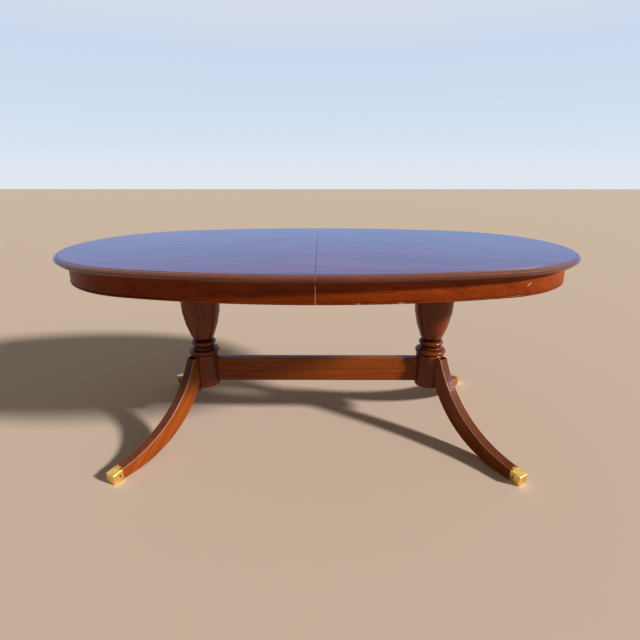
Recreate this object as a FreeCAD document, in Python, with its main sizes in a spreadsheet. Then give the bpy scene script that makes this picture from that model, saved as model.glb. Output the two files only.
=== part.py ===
import FreeCAD, Part
import Sketcher
import math
import os
import re

# Extending oval dining table on two pedestals.
# Origin: on the floor under the middle of the closed table.
# X runs along the table, the way its top opens, Y across it, Z up. Millimetres.

# Driving dimensions
SIZES = {
    # table top
    "top_length": 1850,
    "top_width": 1070,
    "table_height": 762,
    "side_arc_angle": 15.4,
    "top_thickness": 22,
    "seam_gap": 0.8,
    "leaf_width": 457,
    # edge moulding, measured in from the outline and down from the top face
    "moulding_width": 16,
    "moulding_quirk": 1.2,
    "moulding_nose_drop": 9,
    "moulding_nose": 1.5,
    "moulding_crown_radius": 17,
    "moulding_under_radius": 9,
    # apron under the top
    "apron_inset": 40,
    "apron_thickness": 22,
    "apron_height": 70,
    "apron_bead": 3,
    "apron_quirk": 1.5,
    # pedestal columns and hubs
    "pedestal_offset": 459,
    "hub_radius": 55,
    "hub_bottom": 188,
    "hub_height": 139,
    "hub_round": 5,
    "column_tenon_radius": 20,
    "column_tenon_length": 60,
    "foot_plate_radius": 50,
    "foot_plate_height": 2,
    "collar_neck": 52,
    "collar_round": 8.5,
    "small_ring_neck": 39,
    "small_ring_round": 5,
    "groove_radius": 38,
    "groove_height": 8,
    "upper_ring_round": 9,
    "neck_height": 3,
    "vase_radius": 76,
    "vase_sweep_angle": 23,
    "vase_foot_round": 25,
    "vase_foot_angle": 80,
    "shoulder_round": 48,
    "shoulder_angle": 62,
    "cap_plate_overhang": 7,
    "cap_plate_height": 12,
    "cap_neck_radius": 46,
    "cap_neck_height": 30.6,
    "cap_flare_height": 8,
    "cap_radius": 62,
    "cap_height": 22,
    "top_tenon_radius": 18,
    # sabre legs
    "leg_splay_angle": 58,
    "leg_reach": 472,
    "leg_width": 38,
    "leg_top_drop": 5,
    "leg_rake": 67,
    "leg_top_run": 24,
    "toe_height": 42,
    "leg_heel_lift": 30,
    "toe_run": 77,
    "reed_width": 6.4,
    "reed_depth": 1.6,
    # brass toe caps
    "cap_length": 40,
    "cap_width": 41,
    "cap_rise": 44,
    "cap_toe_rise": 37,
    "cap_wall": 3,
    "toe_screw_radius": 2,
    "toe_screw_length": 14,
    "toe_head_radius": 3.6,
    "toe_head_height": 1.2,
    # stretcher between the hubs
    "stretcher_bottom": 207,
    "stretcher_height": 99,
    "stretcher_thickness": 32,
    # dowels of the leg and stretcher joints
    "dowel_radius": 5,
    "dowel_length": 40,
    "dowel_bite": 15,
    "dowel_spread": 50,
    # bearers on the columns
    "bearer_width": 90,
    "bearer_thickness": 25,
    "bearer_clearance": 22,
    "bearer_taper": 60,
    "bearer_tip": 10,
    # slides
    "rail_setback": 4,
    "rail_height": 25,
    "runner_width": 28,
    "runner_height": 24,
    "runner_lift": 2,
    "runner_clearance": 19,
    "runner_overhang": 6,
    "runner_lap_margin": 18.5,
    "slide_clearance": 0.3,
    "tongue_lift": 6,
    "tongue_height": 8,
    "tongue_depth": 7,
    # rack and pinion
    "tooth_module": 2,
    "pinion_thickness": 7.4,
    "rack_lift": 16,
    "pinion_pin_radius": 3,
    "pin_fit": 0.05,
    "pin_head_radius": 5.5,
    "pin_head_height": 1.5,
    "pin_depth": 20,
    "gear_backlash": 0.15,
    "rack_depth": 8,
    "rack_margin": 18,
    # battens under the top
    "batten_width": 44,
    "batten_leaf_gap": 10,
    "batten_clearance": 11.7,
    # wood screws
    "screw_radius": 2.2,
    "screw_head_radius": 4.4,
    "screw_head_height": 3,
    "screw_bite": 14,
    # stored leaf
    "leaf_thickness": 18,
    "leaf_side_gap": 21.5,
    "leaf_bar_offset": 160,
    "leaf_bar_width": 50,
    "leaf_bar_thickness": 18,
    "hinge_length": 70,
    "hinge_offset": 130,
    "hinge_pin_radius": 3.5,
    "hinge_leaf": 1.6,
    "hinge_leaf_height": 14,
    # glue blocks behind the apron
    "block_length": 60,
    "block_width": 22,
    "block_height": 30,
    "block_gap": 0.3,
    # locating dowels on the seam
    "seam_dowel_radius": 5,
    "seam_dowel_seat": 24,
    "seam_dowel_reach": 13,
    "seam_hole_fit": 0.35,
    # swing latches under the seam
    "latch_edge": 107,
    "latch_setback": 34,
    "latch_reach": 62,
    "latch_width": 17,
    "latch_thickness": 3,
    "latch_gap": 4,
    "latch_play": 0.3,
    "latch_slot_play": 1,
    "latch_pin_radius": 3,
    "latch_head_radius": 6,
    "latch_head_height": 3,
    # length that a cutting solid runs past the face it opens
    "overrun": 5,
}

TOOTH_COUNT = 20
# gaps of a rack that lie before the pinion when the table is closed
LEAD_GAP_COUNT = 2
REED_COUNT = 5
PRESSURE_ANGLE = math.radians(20)
ADDENDUM_SHARE = 1.0
DEDENDUM_SHARE = 1.25
# how far into its bearer a column's tenon runs
TENON_SHARE = 0.8
# place of a toe cap's screw along the cap
TOE_SCREW_SHARE = 0.33
# places across the top's half width of the locating dowels on the seam
SEAM_DOWEL_SHARES = (-0.78, -0.26, 0.26, 0.78)
# places of the batten's screws across half its length
BATTEN_SCREW_SHARES = (-0.6, 0.0, 0.6)
# turns of the glue blocks round the end arc, as shares of it
END_BLOCK_SHARES = (-0.55, 0.0, 0.55)

SIDES = {"left": -1, "right": 1}
FACES = {"front": -1, "rear": 1}

os.makedirs("parts", exist_ok=True)
doc = FreeCAD.newDocument("extending_table")
sheet = doc.addObject("Spreadsheet::Sheet", "Sizes")
for row, (size_name, size_value) in enumerate(SIZES.items(), 1):
    sheet.set(f"A{row}", size_name)
    sheet.set(f"B{row}", str(size_value))
    sheet.setAlias(f"B{row}", size_name)
doc.recompute()

NODES = {}


# Formulas of the sizes, as text that the sheet can work out

HALF_LENGTH = "(top_length / 2)"
HALF_WIDTH = "(top_width / 2)"
SEAM = "(seam_gap / 2)"
# the oval is four arcs, two round the sides and two round the ends, that run into each other
ARC_SPREAD = f"(({HALF_LENGTH} - {HALF_WIDTH}) / (sin(side_arc_angle) + cos(side_arc_angle) - 1))"
END_CENTRE = f"({ARC_SPREAD} * sin(side_arc_angle))"
END_RADIUS = f"({HALF_LENGTH} - {END_CENTRE})"
SIDE_CENTRE = f"(-{ARC_SPREAD} * cos(side_arc_angle))"
SIDE_RADIUS = f"({HALF_WIDTH} - {SIDE_CENTRE})"
APRON_BACK = "(apron_inset + apron_thickness)"
TOP_UNDERSIDE = "(table_height - top_thickness)"
APRON_BOTTOM = f"({TOP_UNDERSIDE} - apron_height)"
SLIDE_TRAVEL = "(leaf_width / 2)"

HUB_TOP = "(hub_bottom + hub_height)"
LEG_SEAT = "sqrt(hub_radius^2 - (leg_width / 2)^2)"
BEARER_BOTTOM = APRON_BOTTOM
BEARER_TOP = f"({BEARER_BOTTOM} + bearer_thickness)"
RAIL_TOP = f"({BEARER_TOP} + rail_height)"
RUNNER_BOTTOM = f"({BEARER_TOP} + runner_lift)"
RUNNER_TOP = f"({RUNNER_BOTTOM} + runner_height)"
TONGUE_BOTTOM = f"({BEARER_TOP} + tongue_lift)"
RACK_BOTTOM = f"({BEARER_TOP} + rack_lift)"
RACK_HEIGHT = "(pinion_thickness + 2 * slide_clearance)"
PITCH_RADIUS = f"(tooth_module * {TOOTH_COUNT} / 2)"
RUNNER_FACE = f"({PITCH_RADIUS} - tooth_module * {ADDENDUM_SHARE})"
RAIL_HALF = f"({RUNNER_FACE} - slide_clearance)"
LEAF_HALF = f"({HALF_WIDTH} / 2)"
SLIDE_OFFSET = f"({LEAF_HALF} + leaf_side_gap + runner_width + {RUNNER_FACE})"
LATCH_OFFSET = f"({HALF_WIDTH} - latch_edge)"
RUNNER_EDGE = f"({SLIDE_OFFSET} + {RUNNER_FACE} + runner_width + runner_clearance)"
RUNNER_TAIL = f"sqrt(({SIDE_RADIUS} - {APRON_BACK})^2 - ({RUNNER_EDGE} - {SIDE_CENTRE})^2)"
RUNNER_LAP = f"({SLIDE_TRAVEL} + rack_margin + runner_lap_margin)"
RAIL_REACH = "(pedestal_offset + bearer_width / 2 - rail_setback)"
BATTEN_PLACES = {
    "inner": f"({SLIDE_TRAVEL} + batten_leaf_gap + batten_width / 2)",
    "outer": f"({RUNNER_TAIL} - runner_overhang - batten_width / 2)",
}
# the side glue blocks stand midway between the seam and the battens
BLOCK_PLACES = (
    f"({BATTEN_PLACES['inner']} / 2)",
    f"(({BATTEN_PLACES['inner']} + {BATTEN_PLACES['outer']}) / 2)",
)


def hollow_reach(along):
    """How far the hollow inside the apron reaches across the table at a place along it."""
    return f"({SIDE_CENTRE} + sqrt(({SIDE_RADIUS} - {APRON_BACK})^2 - ({along})^2))"


BEARER_HALF = f"({hollow_reach('pedestal_offset + bearer_width / 2')} - bearer_clearance)"
BATTEN_HALF = f"({hollow_reach(BATTEN_PLACES['outer'] + ' + batten_width / 2')} - batten_clearance)"


def bound(text):
    """A formula of size names as an expression that reads the sheet."""
    return re.sub(r"[a-z]\w*", lambda word: f"Sizes.{word[0]}" if word[0] in SIZES else word[0], text)


def number(text):
    """The present value of a formula."""
    return float(sheet.evalExpression(bound(text)))


def bind(thing, **formulas):
    """Bind properties of an object to formulas of the sizes."""
    for name, text in formulas.items():
        thing.setExpression(name, bound(text))


def place(thing, x="0", y="0", z="0", turn=None):
    """Bind where an object stands, and its turn about Z where one is given."""
    for axis, text in zip("xyz", (x, y, z)):
        thing.setExpression(f".Placement.Base.{axis}", bound(text))
    if turn is not None:
        thing.setExpression(".Placement.Rotation.Angle", bound(turn))
    return thing


def node(name, thing):
    """Name an object as one sub-part of the table."""
    thing.Label = name
    NODES[name] = thing
    return thing


# Part primitives and booleans

def block(name, x, y, z):
    """A box from its lowest to its highest place along each axis."""
    box = doc.addObject("Part::Box", name)
    bind(box, Length=f"{x[1]} - ({x[0]})", Width=f"{y[1]} - ({y[0]})", Height=f"{z[1]} - ({z[0]})")
    return place(box, x[0], y[0], z[0])


def rod(name, radius, length, x="0", y="0", z="0", axis="Z"):
    """A cylinder that starts at a place and runs along an axis."""
    turns = {
        "X": FreeCAD.Rotation(FreeCAD.Vector(0, 1, 0), 90),
        "Y": FreeCAD.Rotation(FreeCAD.Vector(1, 0, 0), -90),
        "Z": FreeCAD.Rotation(),
    }
    cylinder = doc.addObject("Part::Cylinder", name)
    cylinder.Placement = FreeCAD.Placement(FreeCAD.Vector(), turns[axis])
    bind(cylinder, Radius=radius, Height=length)
    return place(cylinder, x, y, z)


def group(name, members):
    """Separate solids kept together as one object."""
    compound = doc.addObject("Part::Compound", name)
    compound.Links = members
    return compound


def fuse(name, members):
    union = doc.addObject("Part::MultiFuse", name)
    union.Shapes = members
    return union


def carve(name, base, tools):
    """A piece with the seats of other pieces cut into it."""
    cut = doc.addObject("Part::Cut", name)
    cut.Base = base
    cut.Tool = tools[0] if len(tools) == 1 else fuse(f"{name}_seats", tools)
    return cut


# Sketched bodies

def body(name):
    return doc.addObject("PartDesign::Body", name)


def origin_feature(owner, role):
    return next(feature for feature in owner.Origin.OriginFeatures if feature.Role == role)


def new_sketch(owner, name, plane, offset="0"):
    """A sketch on one of the body's own planes, set off along its normal."""
    sketch = owner.newObject("Sketcher::SketchObject", name)
    sketch.AttachmentSupport = [(origin_feature(owner, plane), "")]
    sketch.MapMode = "FlatFace"
    sketch.setExpression(".AttachmentOffset.Base.z", bound(offset))
    return sketch


def pin_point(sketch, curve, end, x, y):
    """Dimension a point of a sketch from the sketch's origin."""
    for kind, text in (("DistanceX", x), ("DistanceY", y)):
        index = sketch.addConstraint(Sketcher.Constraint(kind, -1, 1, curve, end, number(text)))
        sketch.setExpression(f"Constraints[{index}]", bound(text))


def size_arc(sketch, curve, radius):
    index = sketch.addConstraint(Sketcher.Constraint("Radius", curve, number(radius)))
    sketch.setExpression(f"Constraints[{index}]", bound(radius))


def near_end(sketch, curve, spot):
    """Which end of a sketched curve lies at a spot."""
    first = sketch.getPoint(curve, 1).distanceToPoint(spot)
    second = sketch.getPoint(curve, 2).distanceToPoint(spot)
    return 1 if first < second else 2


def draw(sketch, corners, closed=True):
    """Draw an outline through corners (x, y).

    A corner (x, y, centre x, centre y, radius) is reached along an arc.
    """
    spots = [FreeCAD.Vector(number(corner[0]), number(corner[1]), 0) for corner in corners]
    steps = range(len(corners)) if closed else range(1, len(corners))
    curves = []
    for step in steps:
        start, end, corner = spots[step - 1], spots[step], corners[step]
        if len(corner) == 2:
            curve = sketch.addGeometry(Part.LineSegment(start, end))
        else:
            centre = FreeCAD.Vector(number(corner[2]), number(corner[3]), 0)
            middle = (start - centre) + (end - centre)
            middle = centre + middle.normalize() * number(corner[4])
            curve = sketch.addGeometry(Part.Arc(start, middle, end))
        curves.append(curve)
    for place_in_list, step in enumerate(steps):
        curve = curves[place_in_list]
        end = near_end(sketch, curve, spots[step])
        pin_point(sketch, curve, end, corners[step][0], corners[step][1])
        following = place_in_list + 1
        if closed or following < len(curves):
            beside = curves[following % len(curves)]
            touch = near_end(sketch, beside, spots[step])
            sketch.addConstraint(Sketcher.Constraint("Coincident", curve, end, beside, touch))
        if not closed and place_in_list == 0:
            pin_point(sketch, curve, 3 - end, corners[0][0], corners[0][1])
        if len(corners[step]) > 2:
            size_arc(sketch, curve, corners[step][4])
    return sketch


def pad(owner, name, sketch, length, symmetric=False, backward=False):
    feature = owner.newObject("PartDesign::Pad", name)
    feature.Profile = sketch
    bind(feature, Length=length)
    if symmetric:
        feature.SideType = "Symmetric"
    feature.Reversed = backward
    return feature


def turned(name, corners):
    """A lathe-turned body from its profile (radius, height)."""
    owner = body(name)
    sketch = draw(new_sketch(owner, f"{name}_profile", "XZ_Plane"), corners)
    feature = owner.newObject("PartDesign::Revolution", f"{name}_turning")
    feature.Profile = sketch
    feature.ReferenceAxis = (sketch, ["V_Axis"])
    return owner


def swept(name, section, path, start):
    """A body whose section, drawn across the seam, follows a path on the floor plan."""
    owner = body(name)
    spine = draw(new_sketch(owner, f"{name}_path", "XY_Plane"), path, closed=False)
    sketch = draw(new_sketch(owner, f"{name}_section", "YZ_Plane", start), section)
    feature = owner.newObject("PartDesign::AdditivePipe", f"{name}_sweep")
    feature.Profile = sketch
    feature.Spine = (spine, [f"Edge{edge + 1}" for edge in range(len(path) - 1)])
    return owner


# Outline of one half of the oval top, set in from its outer edge

def oval_points(side, inset):
    """Places on the half oval: seam height, then the place where the two arcs join."""
    seam_y = f"({SIDE_CENTRE} + sqrt(({SIDE_RADIUS} - {inset})^2 - {SEAM}^2))"
    join_x = f"({END_CENTRE} + ({END_RADIUS} - {inset}) * sin(side_arc_angle))"
    join_y = f"(({END_RADIUS} - {inset}) * cos(side_arc_angle))"
    return f"{side} * {SEAM}", seam_y, f"{side} * {join_x}", join_y


def oval_path(side, inset):
    """The curved edge of a half oval, from its seam at the rear to its seam at the front."""
    seam_x, seam_y, join_x, join_y = oval_points(side, inset)
    side_radius = f"({SIDE_RADIUS} - {inset})"
    end_radius = f"({END_RADIUS} - {inset})"
    return [
        (seam_x, seam_y),
        (join_x, join_y, "0", SIDE_CENTRE, side_radius),
        (join_x, f"-{join_y}", f"{side} * {END_CENTRE}", "0", end_radius),
        (seam_x, f"-{seam_y}", "0", f"-{SIDE_CENTRE}", side_radius),
    ]


# Screws and dowels

def screw(name, length, x, y, head_z):
    """A countersunk wood screw that is driven upwards from its head."""
    head = doc.addObject("Part::Cone", f"{name}_head")
    bind(head, Radius1="screw_head_radius", Radius2="screw_radius", Height="screw_head_height")
    place(head, x, y, head_z)
    shank = rod(f"{name}_shank", "screw_radius", length, x, y, head_z)
    return fuse(name, [head, shank])


def sunk_screw(name, length, x, y, head_z):
    """A countersunk wood screw that is driven downwards from its head."""
    head = doc.addObject("Part::Cone", f"{name}_head")
    bind(head, Radius1="screw_radius", Radius2="screw_head_radius", Height="screw_head_height")
    place(head, x, y, f"{head_z} - screw_head_height")
    shank = rod(f"{name}_shank", "screw_radius", length, x, y, f"{head_z} - ({length})")
    return fuse(name, [head, shank])


# Pedestals

COLLAR_BOTTOM = f"({HUB_TOP} + foot_plate_height)"
COLLAR_MIDDLE = f"({COLLAR_BOTTOM} + collar_round)"
COLLAR_TOP = f"({COLLAR_MIDDLE} + collar_round)"
SMALL_RING_MIDDLE = f"({COLLAR_TOP} + small_ring_round)"
SMALL_RING_TOP = f"({SMALL_RING_MIDDLE} + small_ring_round)"
UPPER_RING_BOTTOM = f"({SMALL_RING_TOP} + groove_height)"
UPPER_RING_MIDDLE = f"({UPPER_RING_BOTTOM} + upper_ring_round)"
UPPER_RING_TOP = f"({UPPER_RING_MIDDLE} + upper_ring_round)"
VASE_BOTTOM = f"({UPPER_RING_TOP} + neck_height)"
CAP_BOTTOM = f"({BEARER_BOTTOM} - cap_height)"
PLATE_TOP = f"({CAP_BOTTOM} - cap_flare_height - cap_neck_height)"
SHOULDER_TOP = f"({PLATE_TOP} - cap_plate_height)"
SHOULDER_RADIUS = "(vase_radius - shoulder_round * (1 - cos(shoulder_angle)))"
PLATE_RADIUS = f"({SHOULDER_RADIUS} + cap_plate_overhang)"
VASE_WIDEST = f"({SHOULDER_TOP} - shoulder_round * sin(shoulder_angle))"
VASE_RISE = f"({VASE_WIDEST} - {VASE_BOTTOM})"
# the vase is a long arc that runs into a tight one at its foot
VASE_DROP = f"(({VASE_RISE} - vase_foot_round * sin(vase_foot_angle)) / sin(vase_sweep_angle))"
VASE_SWEEP = f"({VASE_DROP} + vase_foot_round)"
VASE_CENTRE = f"(vase_radius - {VASE_SWEEP})"
FOOT_CENTRE = f"({VASE_CENTRE} + {VASE_DROP} * cos(vase_sweep_angle))"
FOOT_LEVEL = f"({VASE_WIDEST} - {VASE_DROP} * sin(vase_sweep_angle))"
VASE_NECK = f"({FOOT_CENTRE} + vase_foot_round * cos(vase_foot_angle))"
TENON_TOP = f"({BEARER_BOTTOM} + bearer_thickness * {TENON_SHARE})"


def column(name, side):
    """Turned vase column with its rings, a tenon at each end."""
    profile = [
        ("0", f"{HUB_TOP} - column_tenon_length"),
        ("column_tenon_radius", f"{HUB_TOP} - column_tenon_length"),
        ("column_tenon_radius", HUB_TOP),
        ("foot_plate_radius", HUB_TOP),
        ("foot_plate_radius", COLLAR_BOTTOM),
        ("collar_neck", COLLAR_BOTTOM),
        ("collar_neck + collar_round", COLLAR_MIDDLE, "collar_neck", COLLAR_MIDDLE, "collar_round"),
        ("collar_neck", COLLAR_TOP, "collar_neck", COLLAR_MIDDLE, "collar_round"),
        ("small_ring_neck", COLLAR_TOP),
        ("small_ring_neck + small_ring_round", SMALL_RING_MIDDLE,
         "small_ring_neck", SMALL_RING_MIDDLE, "small_ring_round"),
        ("small_ring_neck", SMALL_RING_TOP, "small_ring_neck", SMALL_RING_MIDDLE, "small_ring_round"),
        ("groove_radius", SMALL_RING_TOP),
        ("groove_radius", UPPER_RING_BOTTOM),
        ("small_ring_neck", UPPER_RING_BOTTOM),
        ("small_ring_neck + upper_ring_round", UPPER_RING_MIDDLE,
         "small_ring_neck", UPPER_RING_MIDDLE, "upper_ring_round"),
        ("small_ring_neck", UPPER_RING_TOP, "small_ring_neck", UPPER_RING_MIDDLE, "upper_ring_round"),
        (VASE_NECK, UPPER_RING_TOP),
        (VASE_NECK, VASE_BOTTOM),
        (f"{FOOT_CENTRE} + vase_foot_round * cos(vase_sweep_angle)",
         f"{FOOT_LEVEL} - vase_foot_round * sin(vase_sweep_angle)",
         FOOT_CENTRE, FOOT_LEVEL, "vase_foot_round"),
        ("vase_radius", VASE_WIDEST, VASE_CENTRE, VASE_WIDEST, VASE_SWEEP),
        (SHOULDER_RADIUS, SHOULDER_TOP, "vase_radius - shoulder_round", VASE_WIDEST, "shoulder_round"),
        (PLATE_RADIUS, SHOULDER_TOP),
        (PLATE_RADIUS, PLATE_TOP),
        ("cap_neck_radius", PLATE_TOP),
        ("cap_neck_radius", f"{CAP_BOTTOM} - cap_flare_height"),
        ("cap_radius", CAP_BOTTOM),
        ("cap_radius", BEARER_BOTTOM),
        ("top_tenon_radius", BEARER_BOTTOM),
        ("top_tenon_radius", TENON_TOP),
        ("0", TENON_TOP),
    ]
    return place(turned(name, profile), f"{side} * pedestal_offset")


def hub_blank(name, side):
    """Round hub under the column, rounded at its bottom and top edges."""
    profile = [
        ("0", "hub_bottom"),
        ("hub_radius - hub_round", "hub_bottom"),
        ("hub_radius", "hub_bottom + hub_round", "hub_radius - hub_round", "hub_bottom + hub_round",
         "hub_round"),
        ("hub_radius", f"{HUB_TOP} - hub_round"),
        ("hub_radius - hub_round", HUB_TOP, "hub_radius - hub_round", f"{HUB_TOP} - hub_round",
         "hub_round"),
        ("0", HUB_TOP),
    ]
    return place(turned(name, profile), f"{side} * pedestal_offset")


# Sabre legs, drawn in their own upright plane with X outwards from the column

LEG_TOP = f"({HUB_TOP} - leg_top_drop)"
LEG_RISE = f"({LEG_TOP} - toe_height)"
LEG_RUN = f"(leg_reach - {LEG_SEAT} - leg_top_run)"
LEG_SWEEP = f"(({LEG_RUN} - {LEG_RISE} / tan(leg_rake)) / tan(leg_rake / 2))"
SWEEP_CENTRE = f"(toe_height + {LEG_SWEEP})"
HEEL = "(hub_bottom + leg_heel_lift)"
UNDER_CENTRE = "(leg_reach - toe_run)"
UNDER_RUN = f"({UNDER_CENTRE} - {LEG_SEAT})"
UNDER_RISE = f"({HEEL} - cap_wall)"
UNDER_SWEEP = f"(({UNDER_RUN}^2 + {UNDER_RISE}^2) / (2 * {UNDER_RISE}))"
UNDER_HEIGHT = f"(cap_wall + {UNDER_SWEEP})"
CAP_START = "(leg_reach - cap_length)"
TENON_HALF = "(cap_width / 2 - cap_wall)"


def upper_curve(depth):
    """The leg's upper line at a depth under its face: top, end of the straight, toe."""
    radius = f"({LEG_SWEEP} + {depth})"
    bend_x = f"(leg_reach - {radius} * sin(leg_rake))"
    bend_z = f"({SWEEP_CENTRE} - {radius} * cos(leg_rake))"
    top_x = f"({bend_x} - ({LEG_TOP} - {bend_z}) / tan(leg_rake))"
    toe_z = f"({SWEEP_CENTRE} - sqrt({radius}^2 - cap_length^2))"
    return radius, (top_x, LEG_TOP), (bend_x, bend_z), (CAP_START, toe_z)


def leg_blank(name, side, face):
    """A sabre leg with a reeded upper face and a tenon for its brass toe cap."""
    owner = body(name)
    radius, top, bend, toe = upper_curve("reed_depth")
    corners = [
        (LEG_SEAT, LEG_TOP),
        top,
        bend,
        (*toe, "leg_reach", SWEEP_CENTRE, radius),
        (CAP_START, "cap_wall"),
        (UNDER_CENTRE, "cap_wall"),
        (LEG_SEAT, HEEL, UNDER_CENTRE, UNDER_HEIGHT, UNDER_SWEEP),
    ]
    side_view = draw(new_sketch(owner, f"{name}_side_view", "XZ_Plane"), corners)
    pad(owner, f"{name}_blade", side_view, "leg_width", symmetric=True)

    crown_radius, crown_top, crown_bend, crown_toe = upper_curve("0")
    strip = [
        top,
        crown_top,
        crown_bend,
        (*crown_toe, "leg_reach", SWEEP_CENTRE, crown_radius),
        toe,
        (*bend, "leg_reach", SWEEP_CENTRE, radius),
    ]
    first_reed = "(leg_width - reed_width) / 2"
    strip_view = draw(new_sketch(owner, f"{name}_reed_view", "XZ_Plane", first_reed), strip)
    reed = pad(owner, f"{name}_reed", strip_view, "reed_width", symmetric=True)
    doc.recompute()
    reeds = owner.newObject("PartDesign::LinearPattern", f"{name}_reeds")
    reeds.Originals = [reed]
    reeds.Direction = (origin_feature(owner, "Y_Axis"), [""])
    bind(reeds, Length="leg_width - reed_width")
    reeds.Occurrences = REED_COUNT
    owner.Tip = reeds
    doc.recompute()

    tenon = [
        (CAP_START, "cap_wall"),
        ("leg_reach - cap_wall", "cap_wall"),
        ("leg_reach - cap_wall", "cap_toe_rise - cap_wall"),
        (CAP_START, "toe_height - reed_depth"),
    ]
    tenon_view = draw(new_sketch(owner, f"{name}_tenon_view", "XZ_Plane"), tenon)
    pad(owner, f"{name}_tenon", tenon_view, f"2 * {TENON_HALF}", symmetric=True)
    return place(owner, f"{side} * pedestal_offset", turn=leg_turn(side, face))


def leg_turn(side, face):
    """Angle of a leg about Z, from X."""
    return f"{face} * leg_splay_angle" if side > 0 else f"180 - {face} * leg_splay_angle"


def toe_cap_blank(name, side, face):
    """Square brass cap that covers the toe, open towards the leg and lower at its front."""
    owner = body(name)
    corners = [
        (CAP_START, "0"),
        ("leg_reach", "0"),
        ("leg_reach", "cap_toe_rise"),
        (CAP_START, "cap_rise"),
    ]
    view = draw(new_sketch(owner, f"{name}_view", "XZ_Plane"), corners)
    pad(owner, f"{name}_box", view, "cap_width", symmetric=True)
    return place(owner, f"{side} * pedestal_offset", turn=leg_turn(side, face))


def toe_screw(name, side, face):
    """Round-headed screw in the side of a toe cap that faces the table's middle."""
    inner = side * face
    along = f"{CAP_START} + cap_length * {TOE_SCREW_SHARE}"
    outer = "(cap_width / 2 + toe_head_height)"
    spans = (
        ("shank", "toe_screw_radius", "(cap_width / 2 - toe_screw_length)"),
        ("head", "toe_head_radius", "(cap_width / 2)"),
    )
    turnings = [
        rod(f"{name}_{piece}", radius, f"{outer} - {start}", along,
            start if inner > 0 else f"-{outer}", "cap_rise / 2", axis="Y")
        for piece, radius, start in spans
    ]
    whole = group(name, [fuse(f"{name}_whole", turnings)])
    return place(whole, f"{side} * pedestal_offset", turn=leg_turn(side, face))


def joint_dowels(name, reach, low, turn, side):
    """Two dowels, one over the other, across a joint on the hub's side."""
    start = f"{reach} - dowel_bite"
    pair = [
        rod(f"{name}_{level}", "dowel_radius", "dowel_length", start, "0", height, axis="X")
        for level, height in (("lower", low), ("upper", f"{low} + dowel_spread"))
    ]
    return place(group(name, pair), f"{side} * pedestal_offset", turn=turn)


stretcher_end = "(pedestal_offset - sqrt(hub_radius^2 - (stretcher_thickness / 2)^2))"
stretcher_blank = block(
    "stretcher_blank",
    (f"-{stretcher_end}", stretcher_end),
    ("-stretcher_thickness / 2", "stretcher_thickness / 2"),
    ("stretcher_bottom", "stretcher_bottom + stretcher_height"),
)

dowel_pairs = []
stretcher_dowels = []
toe_screws = []
columns = {}
for side_name, side in SIDES.items():
    columns[side_name] = column(f"column_blank_{side_name}", side)
    hub_tools = [columns[side_name], stretcher_blank]
    for face_name, face in FACES.items():
        place_name = f"{face_name}_{side_name}"
        leg = leg_blank(f"leg_blank_{place_name}", side, face)
        leg_low = f"{LEG_TOP} - (dowel_spread + hub_height) / 2 + dowel_radius"
        dowels = joint_dowels(f"leg_dowels_{place_name}", LEG_SEAT, leg_low, leg_turn(side, face), side)
        screw_here = toe_screw(f"toe_screw_{place_name}", side, face)
        cap = toe_cap_blank(f"toe_cap_blank_{place_name}", side, face)
        node(f"toe_cap_{place_name}", carve(f"toe_cap_{place_name}", cap, [leg, screw_here]))
        node(f"leg_{place_name}", carve(f"leg_{place_name}", leg, [dowels, screw_here]))
        hub_tools += [leg, dowels]
        dowel_pairs.append(dowels)
        toe_screws.append(screw_here)
    stretcher_low = "stretcher_bottom + (stretcher_height - dowel_spread) / 2"
    seat = f"(pedestal_offset - {stretcher_end})"
    inner_turn = "180" if side > 0 else "0"
    end_dowels = joint_dowels(f"stretcher_dowels_{side_name}", seat, stretcher_low, inner_turn, side)
    stretcher_dowels.append(end_dowels)
    hub = hub_blank(f"hub_blank_{side_name}", side)
    node(f"hub_{side_name}", carve(f"hub_{side_name}", hub, hub_tools + [end_dowels]))
node("stretcher", carve("stretcher", stretcher_blank, stretcher_dowels))
node("joint_dowels", group("joint_dowels", dowel_pairs + stretcher_dowels))
node("toe_cap_screws", group("toe_cap_screws", toe_screws))


# Bearers, fixed slide rails and the bars that carry the stored leaf

def bearer_blank(name, side):
    """Cross bearer on a column, its ends tapered underneath."""
    owner = body(name)
    corners = [
        (f"-{BEARER_HALF}", BEARER_TOP),
        (f"-{BEARER_HALF}", f"{BEARER_TOP} - bearer_tip"),
        (f"-({BEARER_HALF} - bearer_taper)", BEARER_BOTTOM),
        (f"{BEARER_HALF} - bearer_taper", BEARER_BOTTOM),
        (BEARER_HALF, f"{BEARER_TOP} - bearer_tip"),
        (BEARER_HALF, BEARER_TOP),
    ]
    view = draw(new_sketch(owner, f"{name}_view", "YZ_Plane"), corners)
    pad(owner, f"{name}_beam", view, "bearer_width", symmetric=True)
    return place(owner, f"{side} * pedestal_offset")


def rail_blank(name, face):
    """Fixed slide rail with a groove along each side."""
    owner = body(name)
    groove = f"({RAIL_HALF} - tongue_depth)"
    groove_top = f"({TONGUE_BOTTOM} + tongue_height)"
    right = [
        (RAIL_HALF, BEARER_TOP),
        (RAIL_HALF, TONGUE_BOTTOM),
        (groove, TONGUE_BOTTOM),
        (groove, groove_top),
        (RAIL_HALF, groove_top),
        (RAIL_HALF, RAIL_TOP),
    ]
    left = [(f"-{across}", height) for across, height in reversed(right)]
    view = draw(new_sketch(owner, f"{name}_view", "YZ_Plane"), right + left)
    pad(owner, f"{name}_bar", view, f"2 * {RAIL_REACH}", symmetric=True)
    return place(owner, y=f"{face} * {SLIDE_OFFSET}")


def pinion_pin(name, face):
    """Headed axle pin of a pinion, standing in its rail."""
    across = f"{face} * {SLIDE_OFFSET}"
    shank = rod(f"{name}_shank", "pinion_pin_radius", "pin_depth + pin_head_height", "0", across,
                f"{RAIL_TOP} - pin_depth")
    head = rod(f"{name}_head", "pin_head_radius", "pin_head_height", "0", across, RAIL_TOP)
    return fuse(name, [shank, head])


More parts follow.
